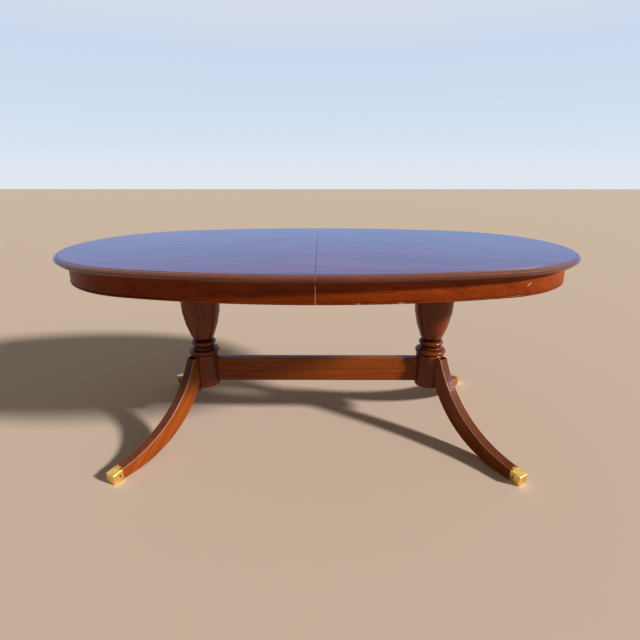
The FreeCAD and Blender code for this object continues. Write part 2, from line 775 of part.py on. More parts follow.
rail_screws = []
bearer_screws = []
bar_screws = []
pins = []
bearers = {side_name: bearer_blank(f"bearer_blank_{side_name}", side) for side_name, side in SIDES.items()}
bars = {}
for side_name, side in SIDES.items():
    middle = f"({side} * leaf_bar_offset)"
    reach = f"({SLIDE_OFFSET} + {RAIL_HALF})"
    bars[side_name] = block(
        f"leaf_bar_blank_{side_name}",
        (f"{middle} - leaf_bar_width / 2", f"{middle} + leaf_bar_width / 2"),
        (f"-{reach}", reach),
        (f"{BEARER_TOP} - leaf_bar_thickness", BEARER_TOP),
    )
    for spot in (-1, 1):
        cap_middle = f"((cap_radius + top_tenon_radius) / 2 * {spot})"
        bearer_screws.append(sunk_screw(
            f"bearer_screw_{side_name}_{spot + 1}", "bearer_thickness + screw_bite",
            f"{side} * pedestal_offset", cap_middle, BEARER_TOP))

for face_name, face in FACES.items():
    across = f"{face} * {SLIDE_OFFSET}"
    here = []
    for side_name, side in SIDES.items():
        for spot in (-1, 1):
            along = f"{side} * pedestal_offset + {spot} * bearer_width / 4"
            here.append(sunk_screw(
                f"rail_screw_{face_name}_{side_name}_{spot + 1}", "rail_height + screw_bite",
                along, across, RAIL_TOP))
        bar_screws.append(screw(
            f"bar_screw_{face_name}_{side_name}", "leaf_bar_thickness + screw_bite",
            f"{side} * leaf_bar_offset", across, f"{BEARER_TOP} - leaf_bar_thickness"))
    pin = pinion_pin(f"pinion_pin_{face_name}", face)
    pocket_half = f"({PITCH_RADIUS} + tooth_module * {DEDENDUM_SHARE} + slide_clearance)"
    pocket = block(
        f"pinion_pocket_{face_name}",
        (f"-{pocket_half}", pocket_half),
        (f"{across} - {pocket_half}", f"{across} + {pocket_half}"),
        (RACK_BOTTOM, f"{RAIL_TOP} + overrun"),
    )
    rail = rail_blank(f"rail_blank_{face_name}", face)
    seats = [pocket, pin] + here + bar_screws[-2:]
    node(f"slide_rail_{face_name}", carve(f"slide_rail_{face_name}", rail, seats))
    rail_screws += here
    pins.append(pin)

for side_name in SIDES:
    seats = [columns[side_name]] + rail_screws + bearer_screws
    node(f"bearer_{side_name}", carve(f"bearer_{side_name}", bearers[side_name], seats))
    node(f"leaf_bar_{side_name}", carve(f"leaf_bar_{side_name}", bars[side_name], bar_screws))
    node(f"column_{side_name}", carve(f"column_{side_name}", columns[side_name], bearer_screws))
node("bearer_screws", group("bearer_screws", bearer_screws))
node("rail_screws", group("rail_screws", rail_screws))
node("leaf_bar_screws", group("leaf_bar_screws", bar_screws))
node("pinion_pins", group("pinion_pins", pins))


# Folded spare leaf, lying on its bars

leaf_levels = {"lower": BEARER_TOP, "upper": f"({BEARER_TOP} + leaf_thickness)"}
fold = f"({BEARER_TOP} + leaf_thickness)"
hinges = []
for place_name, spot in (("near", -1), ("middle", 0), ("far", 1)):
    along = f"({spot} * hinge_offset - hinge_length / 2)"
    knuckle = rod(f"hinge_knuckle_{place_name}", "hinge_pin_radius", "hinge_length", along,
                  f"{LEAF_HALF} + hinge_pin_radius", fold, axis="X")
    wing = block(
        f"hinge_wing_{place_name}",
        (along, f"{along} + hinge_length"),
        (f"{LEAF_HALF} - hinge_leaf", LEAF_HALF),
        (f"{fold} - hinge_leaf_height", f"{fold} + hinge_leaf_height"),
    )
    web = block(
        f"hinge_web_{place_name}",
        (along, f"{along} + hinge_length"),
        (LEAF_HALF, f"{LEAF_HALF} + hinge_pin_radius"),
        (f"{fold} - hinge_leaf", f"{fold} + hinge_leaf"),
    )
    hinges.append(fuse(f"hinge_{place_name}", [knuckle, wing, web]))
for level_name, level in leaf_levels.items():
    panel = block(
        f"leaf_blank_{level_name}",
        (f"-{SLIDE_TRAVEL}", SLIDE_TRAVEL),
        (f"-{LEAF_HALF}", LEAF_HALF),
        (level, f"{level} + leaf_thickness"),
    )
    node(f"leaf_panel_{level_name}", carve(f"leaf_panel_{level_name}", panel, hinges))
node("leaf_hinges", group("leaf_hinges", hinges))


# Rack and pinion

def tooth_flank(radius, pitch_radius, thickness):
    """Half the angle that a pinion tooth fills at a radius, by the involute."""
    base = pitch_radius * math.cos(PRESSURE_ANGLE)
    pressure = math.acos(min(1.0, base / radius))
    involute = math.tan(PRESSURE_ANGLE) - PRESSURE_ANGLE - (math.tan(pressure) - pressure)
    return thickness / (2 * pitch_radius) + involute


def polar(radius, angle):
    return FreeCAD.Vector(radius * math.cos(angle), radius * math.sin(angle), 0)


def pinion(name, face):
    """Toothed pinion with a bore that runs on its pin, a tooth towards each rack."""
    module = number("tooth_module")
    pitch_radius = number(PITCH_RADIUS)
    base = pitch_radius * math.cos(PRESSURE_ANGLE)
    tip = pitch_radius + module * ADDENDUM_SHARE
    root = pitch_radius - module * DEDENDUM_SHARE
    thickness = math.pi * module / 2 - number("gear_backlash")
    spots = [(radius, tooth_flank(radius, pitch_radius, thickness)) for radius in (base, pitch_radius, tip)]
    foot = spots[0][1]
    step = 2 * math.pi / TOOTH_COUNT
    edges = []
    for tooth in range(TOOTH_COUNT):
        middle = tooth * step + math.pi / 2
        rising = [polar(radius, middle - half) for radius, half in spots]
        falling = [polar(radius, middle + half) for radius, half in reversed(spots)]
        gap = [polar(root, middle + turn) for turn in (foot, step / 2, step - foot)]
        edges += [
            Part.LineSegment(polar(root, middle - foot), rising[0]).toShape(),
            Part.Arc(*rising).toShape(),
            Part.Arc(rising[2], polar(tip, middle), falling[0]).toShape(),
            Part.Arc(*falling).toShape(),
            Part.LineSegment(falling[2], gap[0]).toShape(),
            Part.Arc(*gap).toShape(),
        ]
    height = number("pinion_thickness")
    wheel = Part.Face(Part.Wire(edges)).extrude(FreeCAD.Vector(0, 0, height))
    bore = Part.makeCylinder(number("pinion_pin_radius + pin_fit"), height)
    gear = doc.addObject("Part::Feature", name)
    gear.Shape = wheel.cut(bore)
    return place(gear, y=f"{face} * {SLIDE_OFFSET}", z=f"{RACK_BOTTOM} + slide_clearance")


def rack(name, side, face, outward):
    """Toothed rack let into the face of a runner, with a gap over the pinion's tooth at the middle."""
    owner = body(name)
    across = f"{face} * {SLIDE_OFFSET}"
    tips = f"({across} + {outward} * {RUNNER_FACE})"
    back = f"({tips} + {outward} * rack_depth)"
    start = f"({side} * rack_margin)"
    end = f"(-{side} * ({SLIDE_TRAVEL} + rack_margin))"
    corners = [(start, tips), (end, tips), (end, back), (start, back)]
    plan = draw(new_sketch(owner, f"{name}_plan", "XY_Plane", RACK_BOTTOM), corners)
    pad(owner, f"{name}_bar", plan, RACK_HEIGHT)
    doc.recompute()

    slope = math.tan(PRESSURE_ANGLE)
    half_gap = f"({math.pi} * tooth_module / 4 + gear_backlash / 2)"
    wide = f"({half_gap} + tooth_module * {ADDENDUM_SHARE} * {slope})"
    narrow = f"({half_gap} - tooth_module * {DEDENDUM_SHARE} * {slope})"
    floor_line = f"({tips} + {outward} * tooth_module * {ADDENDUM_SHARE + DEDENDUM_SHARE})"
    pitch = f"({math.pi} * tooth_module)"
    first = f"({side} * {LEAD_GAP_COUNT} * {pitch})"
    gap = [
        (f"{first} - {wide}", tips),
        (f"{first} + {wide}", tips),
        (f"{first} + {narrow}", floor_line),
        (f"{first} - {narrow}", floor_line),
    ]
    gap_plan = draw(new_sketch(owner, f"{name}_gap_plan", "XY_Plane", RACK_BOTTOM), gap)
    pocket = owner.newObject("PartDesign::Pocket", f"{name}_gap")
    pocket.Profile = gap_plan
    pocket.Reversed = True
    bind(pocket, Length=RACK_HEIGHT)
    doc.recompute()
    gaps = owner.newObject("PartDesign::LinearPattern", f"{name}_teeth")
    gaps.Originals = [pocket]
    gaps.Direction = (origin_feature(owner, "X_Axis"), [""])
    gaps.Reversed = side > 0
    steps = LEAD_GAP_COUNT + math.floor(number(f"({SLIDE_TRAVEL} + rack_margin - {wide}) / {pitch}"))
    bind(gaps, Length=f"{pitch} * {steps}")
    gaps.Occurrences = steps + 1
    owner.Tip = gaps
    doc.recompute()
    seat = block(
        f"{name}_seat",
        (start, end) if side < 0 else (end, start),
        (tips, back) if outward > 0 else (back, tips),
        (RACK_BOTTOM, f"{RACK_BOTTOM} + {RACK_HEIGHT}"),
    )
    return owner, seat


def runner_blank(name, side, face, outward):
    """Sliding runner with the tongue that rides in a rail's groove."""
    owner = body(name)
    reach = f"({RUNNER_FACE} - (tongue_depth - slide_clearance))"
    tongue_low = f"({TONGUE_BOTTOM} + slide_clearance)"
    tongue_high = f"({TONGUE_BOTTOM} + tongue_height - slide_clearance)"
    corners = [
        (RUNNER_FACE, RUNNER_BOTTOM),
        (f"{RUNNER_FACE} + runner_width", RUNNER_BOTTOM),
        (f"{RUNNER_FACE} + runner_width", RUNNER_TOP),
        (RUNNER_FACE, RUNNER_TOP),
        (RUNNER_FACE, tongue_high),
        (reach, tongue_high),
        (reach, tongue_low),
        (RUNNER_FACE, tongue_low),
    ]
    section = [(f"{outward} * ({across})", height) for across, height in corners]
    low_end = f"-{RUNNER_TAIL}" if side < 0 else f"-{RUNNER_LAP}"
    view = draw(new_sketch(owner, f"{name}_view", "YZ_Plane", low_end), section)
    pad(owner, f"{name}_bar", view, f"{RUNNER_TAIL} + {RUNNER_LAP}")
    return place(owner, y=f"{face} * {SLIDE_OFFSET}")


# Top halves

def top_blank(name, side):
    """Flat veneered panel of one half of the top."""
    owner = body(name)
    plan = draw(new_sketch(owner, f"{name}_plan", "XY_Plane"), oval_path(side, "moulding_width"))
    pad(owner, f"{name}_board", plan, "top_thickness")
    return place(owner, z=TOP_UNDERSIDE)


def edge_moulding(name, side):
    """Moulded lipping round the curved edge of one half of the top."""
    seam_y = oval_points(side, "0")[1]

    def out(inset):
        return f"{seam_y} - ({inset})"

    nose = "(table_height - moulding_nose_drop)"
    under = f"({nose} - moulding_nose)"
    crown = "(table_height - moulding_quirk)"
    crown_x, crown_z = crown_centre(f"({out('moulding_width')})", crown, f"({out('0')})", nose)
    section = [
        (out("moulding_width"), TOP_UNDERSIDE),
        (out("moulding_width"), crown),
        (out("0"), nose, crown_x, crown_z, "moulding_crown_radius"),
        (out("0"), under),
        (out("moulding_under_radius"), f"{under} - moulding_under_radius",
         out("moulding_under_radius"), under, "moulding_under_radius"),
        (out("moulding_under_radius"), TOP_UNDERSIDE),
    ]
    return swept(name, section, oval_path(side, "0"), f"{side} * {SEAM}")


def crown_centre(x_one, z_one, x_two, z_two):
    """Centre of the arc of the crown radius through two points, on their inner lower side."""
    run = f"({x_two} - {x_one})"
    rise = f"({z_two} - {z_one})"
    chord = f"sqrt({run}^2 + {rise}^2)"
    height = f"sqrt(moulding_crown_radius^2 - ({chord} / 2)^2)"
    centre_x = f"(({x_one} + {x_two}) / 2 + {height} * {rise} / {chord})"
    centre_z = f"(({z_one} + {z_two}) / 2 - {height} * {run} / {chord})"
    return centre_x, centre_z


def apron(name, side):
    """Bent apron under one half of the top, with a bead along its lower edge."""
    seam_y = oval_points(side, "apron_inset")[1]
    bead_middle = f"({APRON_BOTTOM} + apron_bead)"
    bead_top = f"({bead_middle} + apron_bead)"
    bead_line = f"({seam_y} - apron_quirk)"
    section = [
        (f"{seam_y} - apron_thickness", APRON_BOTTOM),
        (f"{seam_y} - apron_thickness", TOP_UNDERSIDE),
        (seam_y, TOP_UNDERSIDE),
        (seam_y, f"{bead_top} + apron_quirk"),
        (bead_line, f"{bead_top} + apron_quirk"),
        (bead_line, bead_top),
        (f"{bead_line} + apron_bead", bead_middle, bead_line, bead_middle, "apron_bead"),
        (bead_line, APRON_BOTTOM, bead_line, bead_middle, "apron_bead"),
    ]
    return swept(name, section, oval_path(side, "apron_inset"), f"{side} * {SEAM}")


def glue_block(name, centre_x, centre_y, radius, turn):
    """A block under the top whose back stands just clear of the apron's hollow face."""
    box = doc.addObject("Part::Box", f"{name}_box")
    bind(box, Length="block_width", Width="block_length", Height="block_height")
    back = f"sqrt(({radius} - block_gap)^2 - (block_length / 2)^2)"
    place(box, f"{back} - block_width", "-block_length / 2", f"{TOP_UNDERSIDE} - block_height")
    return place(group(name, [box]), centre_x, centre_y, turn=turn)


def glue_blocks(side_name, side):
    """Glue blocks round the inside of one half of the apron."""
    blocks = []
    for face_name, face in FACES.items():
        for order, along in enumerate(BLOCK_PLACES):
            radius = f"({SIDE_RADIUS} - {APRON_BACK})"
            turn = f"{face} * (90 deg - {side} * asin({along} / {radius}))"
            blocks.append(glue_block(
                f"side_block_{side_name}_{face_name}_{order}",
                "0", f"{face} * {SIDE_CENTRE}", radius, turn))
    for order, share in enumerate(END_BLOCK_SHARES):
        turn = f"{0 if side > 0 else 180} + {share} * (90 - side_arc_angle)"
        blocks.append(glue_block(
            f"end_block_{side_name}_{order}",
            f"{side} * {END_CENTRE}", "0", f"({END_RADIUS} - {APRON_BACK})", turn))
    return group(f"glue_blocks_{side_name}", blocks)


def battens(side_name, side):
    """Two battens across the underside of one half of the top."""
    made = {}
    for place_name, offset in BATTEN_PLACES.items():
        middle = f"({side} * {offset})"
        made[place_name] = block(
            f"batten_blank_{place_name}_{side_name}",
            (f"{middle} - batten_width / 2", f"{middle} + batten_width / 2"),
            (f"-{BATTEN_HALF}", BATTEN_HALF),
            (RUNNER_TOP, TOP_UNDERSIDE),
        )
    return made


PANEL_MIDDLE = "(table_height - top_thickness / 2)"
seam_dowels = [
    rod(f"seam_dowel_{order}", "seam_dowel_radius", "seam_dowel_seat + seam_dowel_reach",
        f"-{SEAM} - seam_dowel_seat", f"{share} * {HALF_WIDTH}", PANEL_MIDDLE, axis="X")
    for order, share in enumerate(SEAM_DOWEL_SHARES)
]
seam_holes = [
    rod(f"seam_hole_{order}", "seam_dowel_radius + seam_hole_fit", "seam_dowel_reach + overrun",
        f"-{SEAM}", f"{share} * {HALF_WIDTH}", PANEL_MIDDLE, axis="X")
    for order, share in enumerate(SEAM_DOWEL_SHARES)
]
node("alignment_dowels", group("alignment_dowels", seam_dowels))


# Swing latches: a pivot under the left half, a peg under the right half, a hook between them

HOOK_TOP = f"({TOP_UNDERSIDE} - latch_gap)"
HOOK_BOTTOM = f"({HOOK_TOP} - latch_thickness)"
HEAD_TOP = f"({HOOK_BOTTOM} - latch_play)"


def latch_stud(name, x, y):
    """Headed stud let into the top, with a shoulder above the hook's place."""
    shank = rod(f"{name}_shank", "latch_pin_radius", f"{PANEL_MIDDLE} - {HEAD_TOP}", x, y, HEAD_TOP)
    shoulder = rod(f"{name}_shoulder", "latch_head_radius", "latch_gap - latch_play", x, y,
                   f"{HOOK_TOP} + latch_play")
    head = rod(f"{name}_head", "latch_head_radius", "latch_head_height", x, y,
               f"{HEAD_TOP} - latch_head_height")
    return fuse(name, [shank, shoulder, head])


def latch_hook(name, face):
    """Flat hook, swung open beside the seam, with a slot for the peg on its leading side."""
    x = "(-latch_setback)"
    pivot_y = f"({face} * {LATCH_OFFSET})"
    peg_y = f"({face} * ({LATCH_OFFSET} - latch_reach))"
    low_y, high_y = (pivot_y, peg_y) if face < 0 else (peg_y, pivot_y)
    half = "(latch_width / 2)"
    levels = (HOOK_BOTTOM, HOOK_TOP)
    plate = fuse(f"{name}_plate", [
        block(f"{name}_arm", (f"{x} - {half}", f"{x} + {half}"), (low_y, high_y), levels),
        rod(f"{name}_eye", half, "latch_thickness", x, pivot_y, HOOK_BOTTOM),
        rod(f"{name}_tip", half, "latch_thickness", x, peg_y, HOOK_BOTTOM),
    ])
    cut_levels = (f"{HOOK_BOTTOM} - overrun", f"{HOOK_TOP} + overrun")
    cut_depth = "latch_thickness + 2 * overrun"
    slot_half = "(latch_pin_radius + latch_slot_play)"
    bore = rod(f"{name}_bore", "latch_pin_radius + pin_fit", cut_depth, x, pivot_y, cut_levels[0])
    throat = rod(f"{name}_throat", slot_half, cut_depth, x, peg_y, cut_levels[0])
    mouth = block(
        f"{name}_mouth",
        (x, f"{x} + {half} + overrun"),
        (f"{peg_y} - {slot_half}", f"{peg_y} + {slot_half}"),
        cut_levels,
    )
    return carve(name, plate, [bore, mouth, throat])


latch_pivots = []
latch_pegs = []
for face_name, face in FACES.items():
    across = f"{face} * {LATCH_OFFSET}"
    latch_pivots.append(latch_stud(f"latch_pivot_{face_name}", "-latch_setback", across))
    latch_pegs.append(latch_stud(f"latch_peg_{face_name}", "latch_reach - latch_setback", across))
    node(f"latch_hook_{face_name}", latch_hook(f"latch_hook_{face_name}", face))
    node(f"pinion_{face_name}", pinion(f"pinion_{face_name}", face))
node("latch_pivots", group("latch_pivots", latch_pivots))
node("latch_pegs", group("latch_pegs", latch_pegs))


# Everything that slides with each half of the top

for side_name, side in SIDES.items():
    runner_screws = []
    batten_screws = []
    cross = battens(side_name, side)
    for face_name, face in FACES.items():
        # the left half's runners ride outside the rails, the right half's inside
        outward = face if side < 0 else -face
        screw_line = f"({RUNNER_FACE} + (runner_width + rack_depth) / 2)"
        runner_middle = f"({face} * {SLIDE_OFFSET} + {outward} * {screw_line})"
        here = [
            screw(f"runner_screw_{face_name}_{side_name}_{place_name}", "runner_height + screw_bite",
                  f"{side} * {BATTEN_PLACES[place_name]}", runner_middle, RUNNER_BOTTOM)
            for place_name in cross
        ]
        toothed, seat = rack(f"rack_{face_name}_{side_name}", side, face, outward)
        blank = runner_blank(f"runner_blank_{face_name}_{side_name}", side, face, outward)
        node(f"rack_{face_name}_{side_name}", toothed)
        name = f"runner_{face_name}_{side_name}"
        node(name, carve(name, blank, here + [seat]))
        runner_screws += here
    for place_name, blank in cross.items():
        here = [
            screw(f"batten_screw_{place_name}_{side_name}_{order}",
                  f"{TOP_UNDERSIDE} - {RUNNER_TOP} + top_thickness / 2",
                  f"{side} * {BATTEN_PLACES[place_name]}", f"{share} * {BATTEN_HALF}", RUNNER_TOP)
            for order, share in enumerate(BATTEN_SCREW_SHARES)
        ]
        name = f"batten_{place_name}_{side_name}"
        node(name, carve(name, blank, runner_screws + here))
        batten_screws += here
    node(f"runner_screws_{side_name}", group(f"runner_screws_{side_name}", runner_screws))
    node(f"batten_screws_{side_name}", group(f"batten_screws_{side_name}", batten_screws))
    studs = latch_pivots + seam_dowels if side < 0 else latch_pegs + seam_holes
    board = top_blank(f"top_blank_{side_name}", side)
    node(f"top_panel_{side_name}", carve(f"top_panel_{side_name}", board, batten_screws + studs))
    node(f"edge_moulding_{side_name}", edge_moulding(f"edge_moulding_{side_name}", side))
    node(f"apron_{side_name}", apron(f"apron_{side_name}", side))
    node(f"glue_blocks_{side_name}", glue_blocks(side_name, side))

doc.recompute()

# Nothing is written unless every object and every sub-part came out whole
for thing in doc.Objects:
    if "Invalid" in thing.State or "Error" in thing.State:
        raise RuntimeError(f"{thing.Label} failed: {thing.State}")
for name, thing in NODES.items():
    if thing.Shape.isNull() or not thing.Shape.isValid():
        raise RuntimeError(f"{name} has no valid shape")
for name, thing in NODES.items():
    thing.Shape.exportStep(f"parts/{name}.step")
    print(f"{name}: {len(thing.Shape.Solids)} solid, {thing.Shape.Volume / 1000:.1f} cm3")
print(f"{len(NODES)} sub-parts written")
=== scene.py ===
# %% [markdown]
# An oval extending dining table in lacquered mahogany.
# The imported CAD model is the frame: it gives every piece its place, and it moves.
# This lesson models the pieces that show again, with finer edges, and gives every surface its finish.

# %% Load the frame
import math

import bpy
from mathutils import Matrix, Vector


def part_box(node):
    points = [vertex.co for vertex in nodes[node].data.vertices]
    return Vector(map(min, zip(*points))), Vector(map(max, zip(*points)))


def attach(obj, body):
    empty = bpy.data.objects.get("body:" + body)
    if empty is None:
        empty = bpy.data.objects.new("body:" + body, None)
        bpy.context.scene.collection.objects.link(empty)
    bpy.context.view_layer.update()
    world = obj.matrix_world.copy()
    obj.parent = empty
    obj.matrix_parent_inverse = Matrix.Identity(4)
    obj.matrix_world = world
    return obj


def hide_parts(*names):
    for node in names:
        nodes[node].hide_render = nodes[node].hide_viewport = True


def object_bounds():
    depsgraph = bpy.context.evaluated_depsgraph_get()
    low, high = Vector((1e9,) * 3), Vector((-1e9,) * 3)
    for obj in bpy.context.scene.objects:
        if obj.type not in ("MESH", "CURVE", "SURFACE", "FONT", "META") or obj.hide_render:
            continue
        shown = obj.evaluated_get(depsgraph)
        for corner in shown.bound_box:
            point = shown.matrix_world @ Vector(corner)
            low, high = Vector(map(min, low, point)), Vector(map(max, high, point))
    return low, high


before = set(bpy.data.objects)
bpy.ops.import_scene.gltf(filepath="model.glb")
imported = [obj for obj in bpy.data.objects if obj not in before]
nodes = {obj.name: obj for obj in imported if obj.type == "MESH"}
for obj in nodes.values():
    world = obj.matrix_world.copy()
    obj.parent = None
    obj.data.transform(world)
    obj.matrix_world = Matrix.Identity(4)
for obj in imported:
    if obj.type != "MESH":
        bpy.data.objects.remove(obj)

cad_low, cad_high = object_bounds()
MM = 0.001
SIDES = {"left": -1, "right": 1}
FACES = {"front": -1, "rear": 1}
print("frame", len(nodes), "nodes,", "box", tuple(cad_low), tuple(cad_high))

# %% [markdown]
# The top is an oval of four arcs: a flat one along each side and a tight one round each end.
# Where they meet they share a tangent, so one angle and the table's length and width fix all four.
# The moulding and the apron follow the same arcs, so these centres serve every piece of the top.

# %% The oval's arcs
SIDE_ARC_ANGLE = math.radians(15.4)
half_length, half_width, table_height = cad_high
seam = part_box("top_panel_right")[0].x
arc_spread = (half_length - half_width) / (math.sin(SIDE_ARC_ANGLE) + math.cos(SIDE_ARC_ANGLE) - 1)
end_centre = arc_spread * math.sin(SIDE_ARC_ANGLE)
end_radius = half_length - end_centre
side_centre = arc_spread * math.cos(SIDE_ARC_ANGLE)
side_radius = half_width + side_centre
end_turn_limit = math.pi / 2 - SIDE_ARC_ANGLE
print("arcs of radius", round(side_radius, 3), "and", round(end_radius, 3))

# %% [markdown]
# Mouldings, turned columns and reeds all start as a section, the line that a plane or a cutter would follow.
# By hand it is drawn with one vertex: extruded for a straight stretch, spun about a centre for a round one.
# Spin turns clockwise for a positive angle, so the angle is negated to read as on paper.

# %% Drawing a section
ARC_STEP = 9
MERGE_REACH = 0.01 * MM
SEED_SIZE = 1 * MM
ROUND_LIMIT = 35


def new_vertex(name, spot):
    """Start a piece in edit mode with one selected vertex."""
    bpy.ops.object.select_all(action="DESELECT")
    bpy.ops.mesh.primitive_plane_add(size=SEED_SIZE)
    piece = bpy.context.object
    piece.name = name
    bpy.ops.object.mode_set(mode="EDIT")
    bpy.ops.mesh.select_mode(type="VERT")
    bpy.ops.mesh.merge(type="CENTER")
    bpy.ops.transform.translate(value=spot)
    return piece


def draw_steps(pen, steps, axis, arc_step=ARC_STEP):
    """Extrude the selected vertex to each point in turn, or spin it about the point where a turn is given."""
    for spot, turn in steps:
        if turn:
            count = max(2, round(abs(turn) / arc_step))
            bpy.ops.mesh.spin(steps=count, angle=-math.radians(turn), center=spot, axis=axis)
            pen = spot + Matrix.Rotation(math.radians(turn), 3, axis) @ (pen - spot)
        else:
            bpy.ops.mesh.extrude_vertices_move(TRANSFORM_OT_translate={"value": spot - pen})
            pen = spot


def select_edges(piece, wanted):
    """Select in edit mode the edges whose two ends both pass a test."""
    bpy.ops.mesh.select_all(action="DESELECT")
    bpy.ops.mesh.select_mode(type="EDGE")
    bpy.ops.object.mode_set(mode="OBJECT")
    for edge in piece.data.edges:
        edge.select = all(wanted(piece.data.vertices[corner].co) for corner in edge.vertices)
    bpy.ops.object.mode_set(mode="EDIT")


def close_up(piece):
    """Merge the seams, turn the faces outwards and leave edit mode."""
    bpy.ops.mesh.select_all(action="SELECT")
    bpy.ops.mesh.remove_doubles(threshold=MERGE_REACH)
    bpy.ops.mesh.normals_make_consistent(inside=False)
    bpy.ops.object.mode_set(mode="OBJECT")
    return piece


def shade(piece, degrees):
    """Smooth the round stretches and keep the arrises."""
    bpy.ops.object.select_all(action="DESELECT")
    piece.select_set(True)
    bpy.context.view_layer.objects.active = piece
    bpy.ops.object.shade_smooth_by_angle(angle=math.radians(degrees))


def copy_piece(piece, name):
    """A copy with its own mesh, selected alone."""
    bpy.ops.object.select_all(action="DESELECT")
    piece.select_set(True)
    bpy.context.view_layer.objects.active = piece
    bpy.ops.object.duplicate(linked=False)
    bpy.context.object.name = name
    return bpy.context.object


def mirrored(piece, name):
    """The other half of the table's piece: a copy turned over in X, with its faces outwards again."""
    copy = copy_piece(piece, name)
    copy.scale.x = -1
    bpy.ops.object.transform_apply(location=True, rotation=True, scale=True)
    bpy.ops.object.mode_set(mode="EDIT")
    return close_up(copy)


def count_of(piece):
    return f"{piece.name}: {len(piece.data.vertices)} vertices"


# %% [markdown]
# Wood shows its grain along the tree, so each piece needs to say which way that was.
# An image would need unwrapping. A point attribute is lighter: every vertex keeps its place along and across
# the grain in metres, and the wood material reads that in place of plain coordinates.

# %% Laying the grain
def lay_grain(piece, place):
    """Keep for each vertex its place along the grain and across it."""
    grain = piece.data.attributes.new("grain", "FLOAT_VECTOR", "POINT")
    for vertex, spot in zip(piece.data.vertices, grain.data):
        spot.vector = place(vertex.co)


def lay_mark(piece, mark, share_at):
    """Keep for each vertex how far a mark shows there, from 0 to 1."""
    marks = piece.data.attributes.new(mark, "FLOAT", "POINT")
    for vertex, spot in zip(piece.data.vertices, marks.data):
        spot.value = share_at(vertex.co)


def run_round(spot):
    """Length along the oval from the middle of the table's end, for grain that follows the bend."""
    end_turn = math.atan2(spot.y, abs(spot.x) - end_centre)
    if abs(end_turn) <= end_turn_limit:
        return end_turn * end_radius
    side_turn = math.atan2(abs(spot.x), side_centre + abs(spot.y))
    return math.copysign(end_turn_limit * end_radius + (SIDE_ARC_ANGLE - side_turn) * side_radius, spot.y)


def inset_of(spot):
    """How far a point lies inside the oval's edge, seen from above."""
    end_turn = math.atan2(spot.y, abs(spot.x) - end_centre)
    if abs(end_turn) <= end_turn_limit:
        return end_radius - math.hypot(abs(spot.x) - end_centre, spot.y)
    return side_radius - math.hypot(spot.x, side_centre + abs(spot.y))


print("grain runs", round(end_turn_limit * end_radius, 3), "m round half an end")

# %% [markdown]
# Mahogany is a red-brown wood with darker streaks, short open pores and a slow change of tone.
# Three noises stretched along the grain give those, and a clear coat gives the lacquer.
# Where the lacquer is worn, at the legs' edges and the seam, the paler wood shows through.
# On the legs that pale is also a painted highlight, on the edges and the reeds' crowns, stronger up the leg.
# The quirks of reeds, bead and rings are made nearly black.
# Both are marks on the vertices, laid when a piece is made: the legs' pale mark of wear and painted
# highlight, and the groove mark.

# %% Node helpers
NOISE_ROUGHNESS = 0.6
NOISE_RANGE = (0.3, 0.7)


def new_material(name):
    """A node material and its shader."""
    material = bpy.data.materials.new(name)
    material.use_nodes = True
    return material, material.node_tree, material.node_tree.nodes["Principled BSDF"]


def add_node(tree, kind, inputs=None, **settings):
    """Add a node, with its settings and the fixed values of its inputs."""
    node = tree.nodes.new(kind)
    for key, value in settings.items():
        setattr(node, key, value)
    for key, value in (inputs or {}).items():
        node.inputs[key].default_value = value
    return node


def stretched_noise(tree, vector, stretch, detail, distortion=0.0):
    """Noise that is stretched along one way of its vector."""
    mapping = add_node(tree, "ShaderNodeMapping", {"Scale": stretch})
    noise = add_node(tree, "ShaderNodeTexNoise",
                     {"Scale": 1.0, "Detail": detail, "Roughness": NOISE_ROUGHNESS, "Distortion": distortion})
    tree.links.new(vector, mapping.inputs["Vector"])
    tree.links.new(mapping.outputs["Vector"], noise.inputs["Vector"])
    return noise.outputs["Fac"]


def ramp(tree, value, stops):
    """Colours along a value."""
    node = add_node(tree, "ShaderNodeValToRGB")
    elements = node.color_ramp.elements
    while len(elements) < len(stops):
        elements.new(0.5)
    for element, (place, colour) in zip(elements, stops):
        element.position = place
        element.color = (*colour, 1.0)
    tree.links.new(value, node.inputs["Fac"])
    return node.outputs["Color"]


def blend_colour(tree, mode, share, first, second):
    """One colour over another. The share is a number or an output."""
    node = add_node(tree, "ShaderNodeMix", data_type="RGBA", blend_type=mode)
    for socket, value in (("Factor", share), ("A", first), ("B", second)):
        target = next(i for i in node.inputs if i.name == socket and i.enabled)
        if isinstance(value, bpy.types.NodeSocket):
            tree.links.new(value, target)
        else:
            target.default_value = value
    return next(o for o in node.outputs if o.enabled)


def span(tree, value, low, high, to_low, to_high):
    """Carry a value from one range to another, held inside it."""
    limits = {"From Min": low, "From Max": high, "To Min": to_low, "To Max": to_high}
    node = add_node(tree, "ShaderNodeMapRange", limits)
    tree.links.new(value, node.inputs["Value"])
    return node.outputs["Result"]


def relief(tree, shader, height, strength, depth):
    """Bump from a height, in metres."""
    bump = add_node(tree, "ShaderNodeBump", {"Strength": strength, "Distance": depth})
    tree.links.new(height, bump.inputs["Height"])
    tree.links.new(bump.outputs["Normal"], shader.inputs["Normal"])


# %% Mahogany
# Pale wood: bare where the lacquer is worn or chipped, and on the legs also a painted highlight.
BARE_AND_HIGHLIGHT_MAHOGANY = (0.70, 0.48, 0.38, 1.0)
QUIRK_DARK_TONE = (0.20, 0.16, 0.18, 1.0)
CLOUD_TONE = (0.76, 0.70, 0.66, 1.0)
SEAM_WEAR = 1.3 * MM
SEAM_EDGE = 0.5 * MM
PATCH_STRETCH = (40.0, 200.0, 200.0)
STREAK_STRETCH = (2.2, 75.0, 75.0)
PORE_STRETCH = (28.0, 900.0, 900.0)
PORE_DEPTH = 0.1 * MM
CLOUD_STRETCH = (1.6, 9.0, 9.0)
QUIRK_DARK_SHARE = 0.9
SEAM_BARE_SHARE = 0.45
CHIP_BARE_SHARE = 0.85
MAHOGANY_ROUGHNESS = (0.34, 0.46)
LACQUER_ROUGHNESS = 0.1


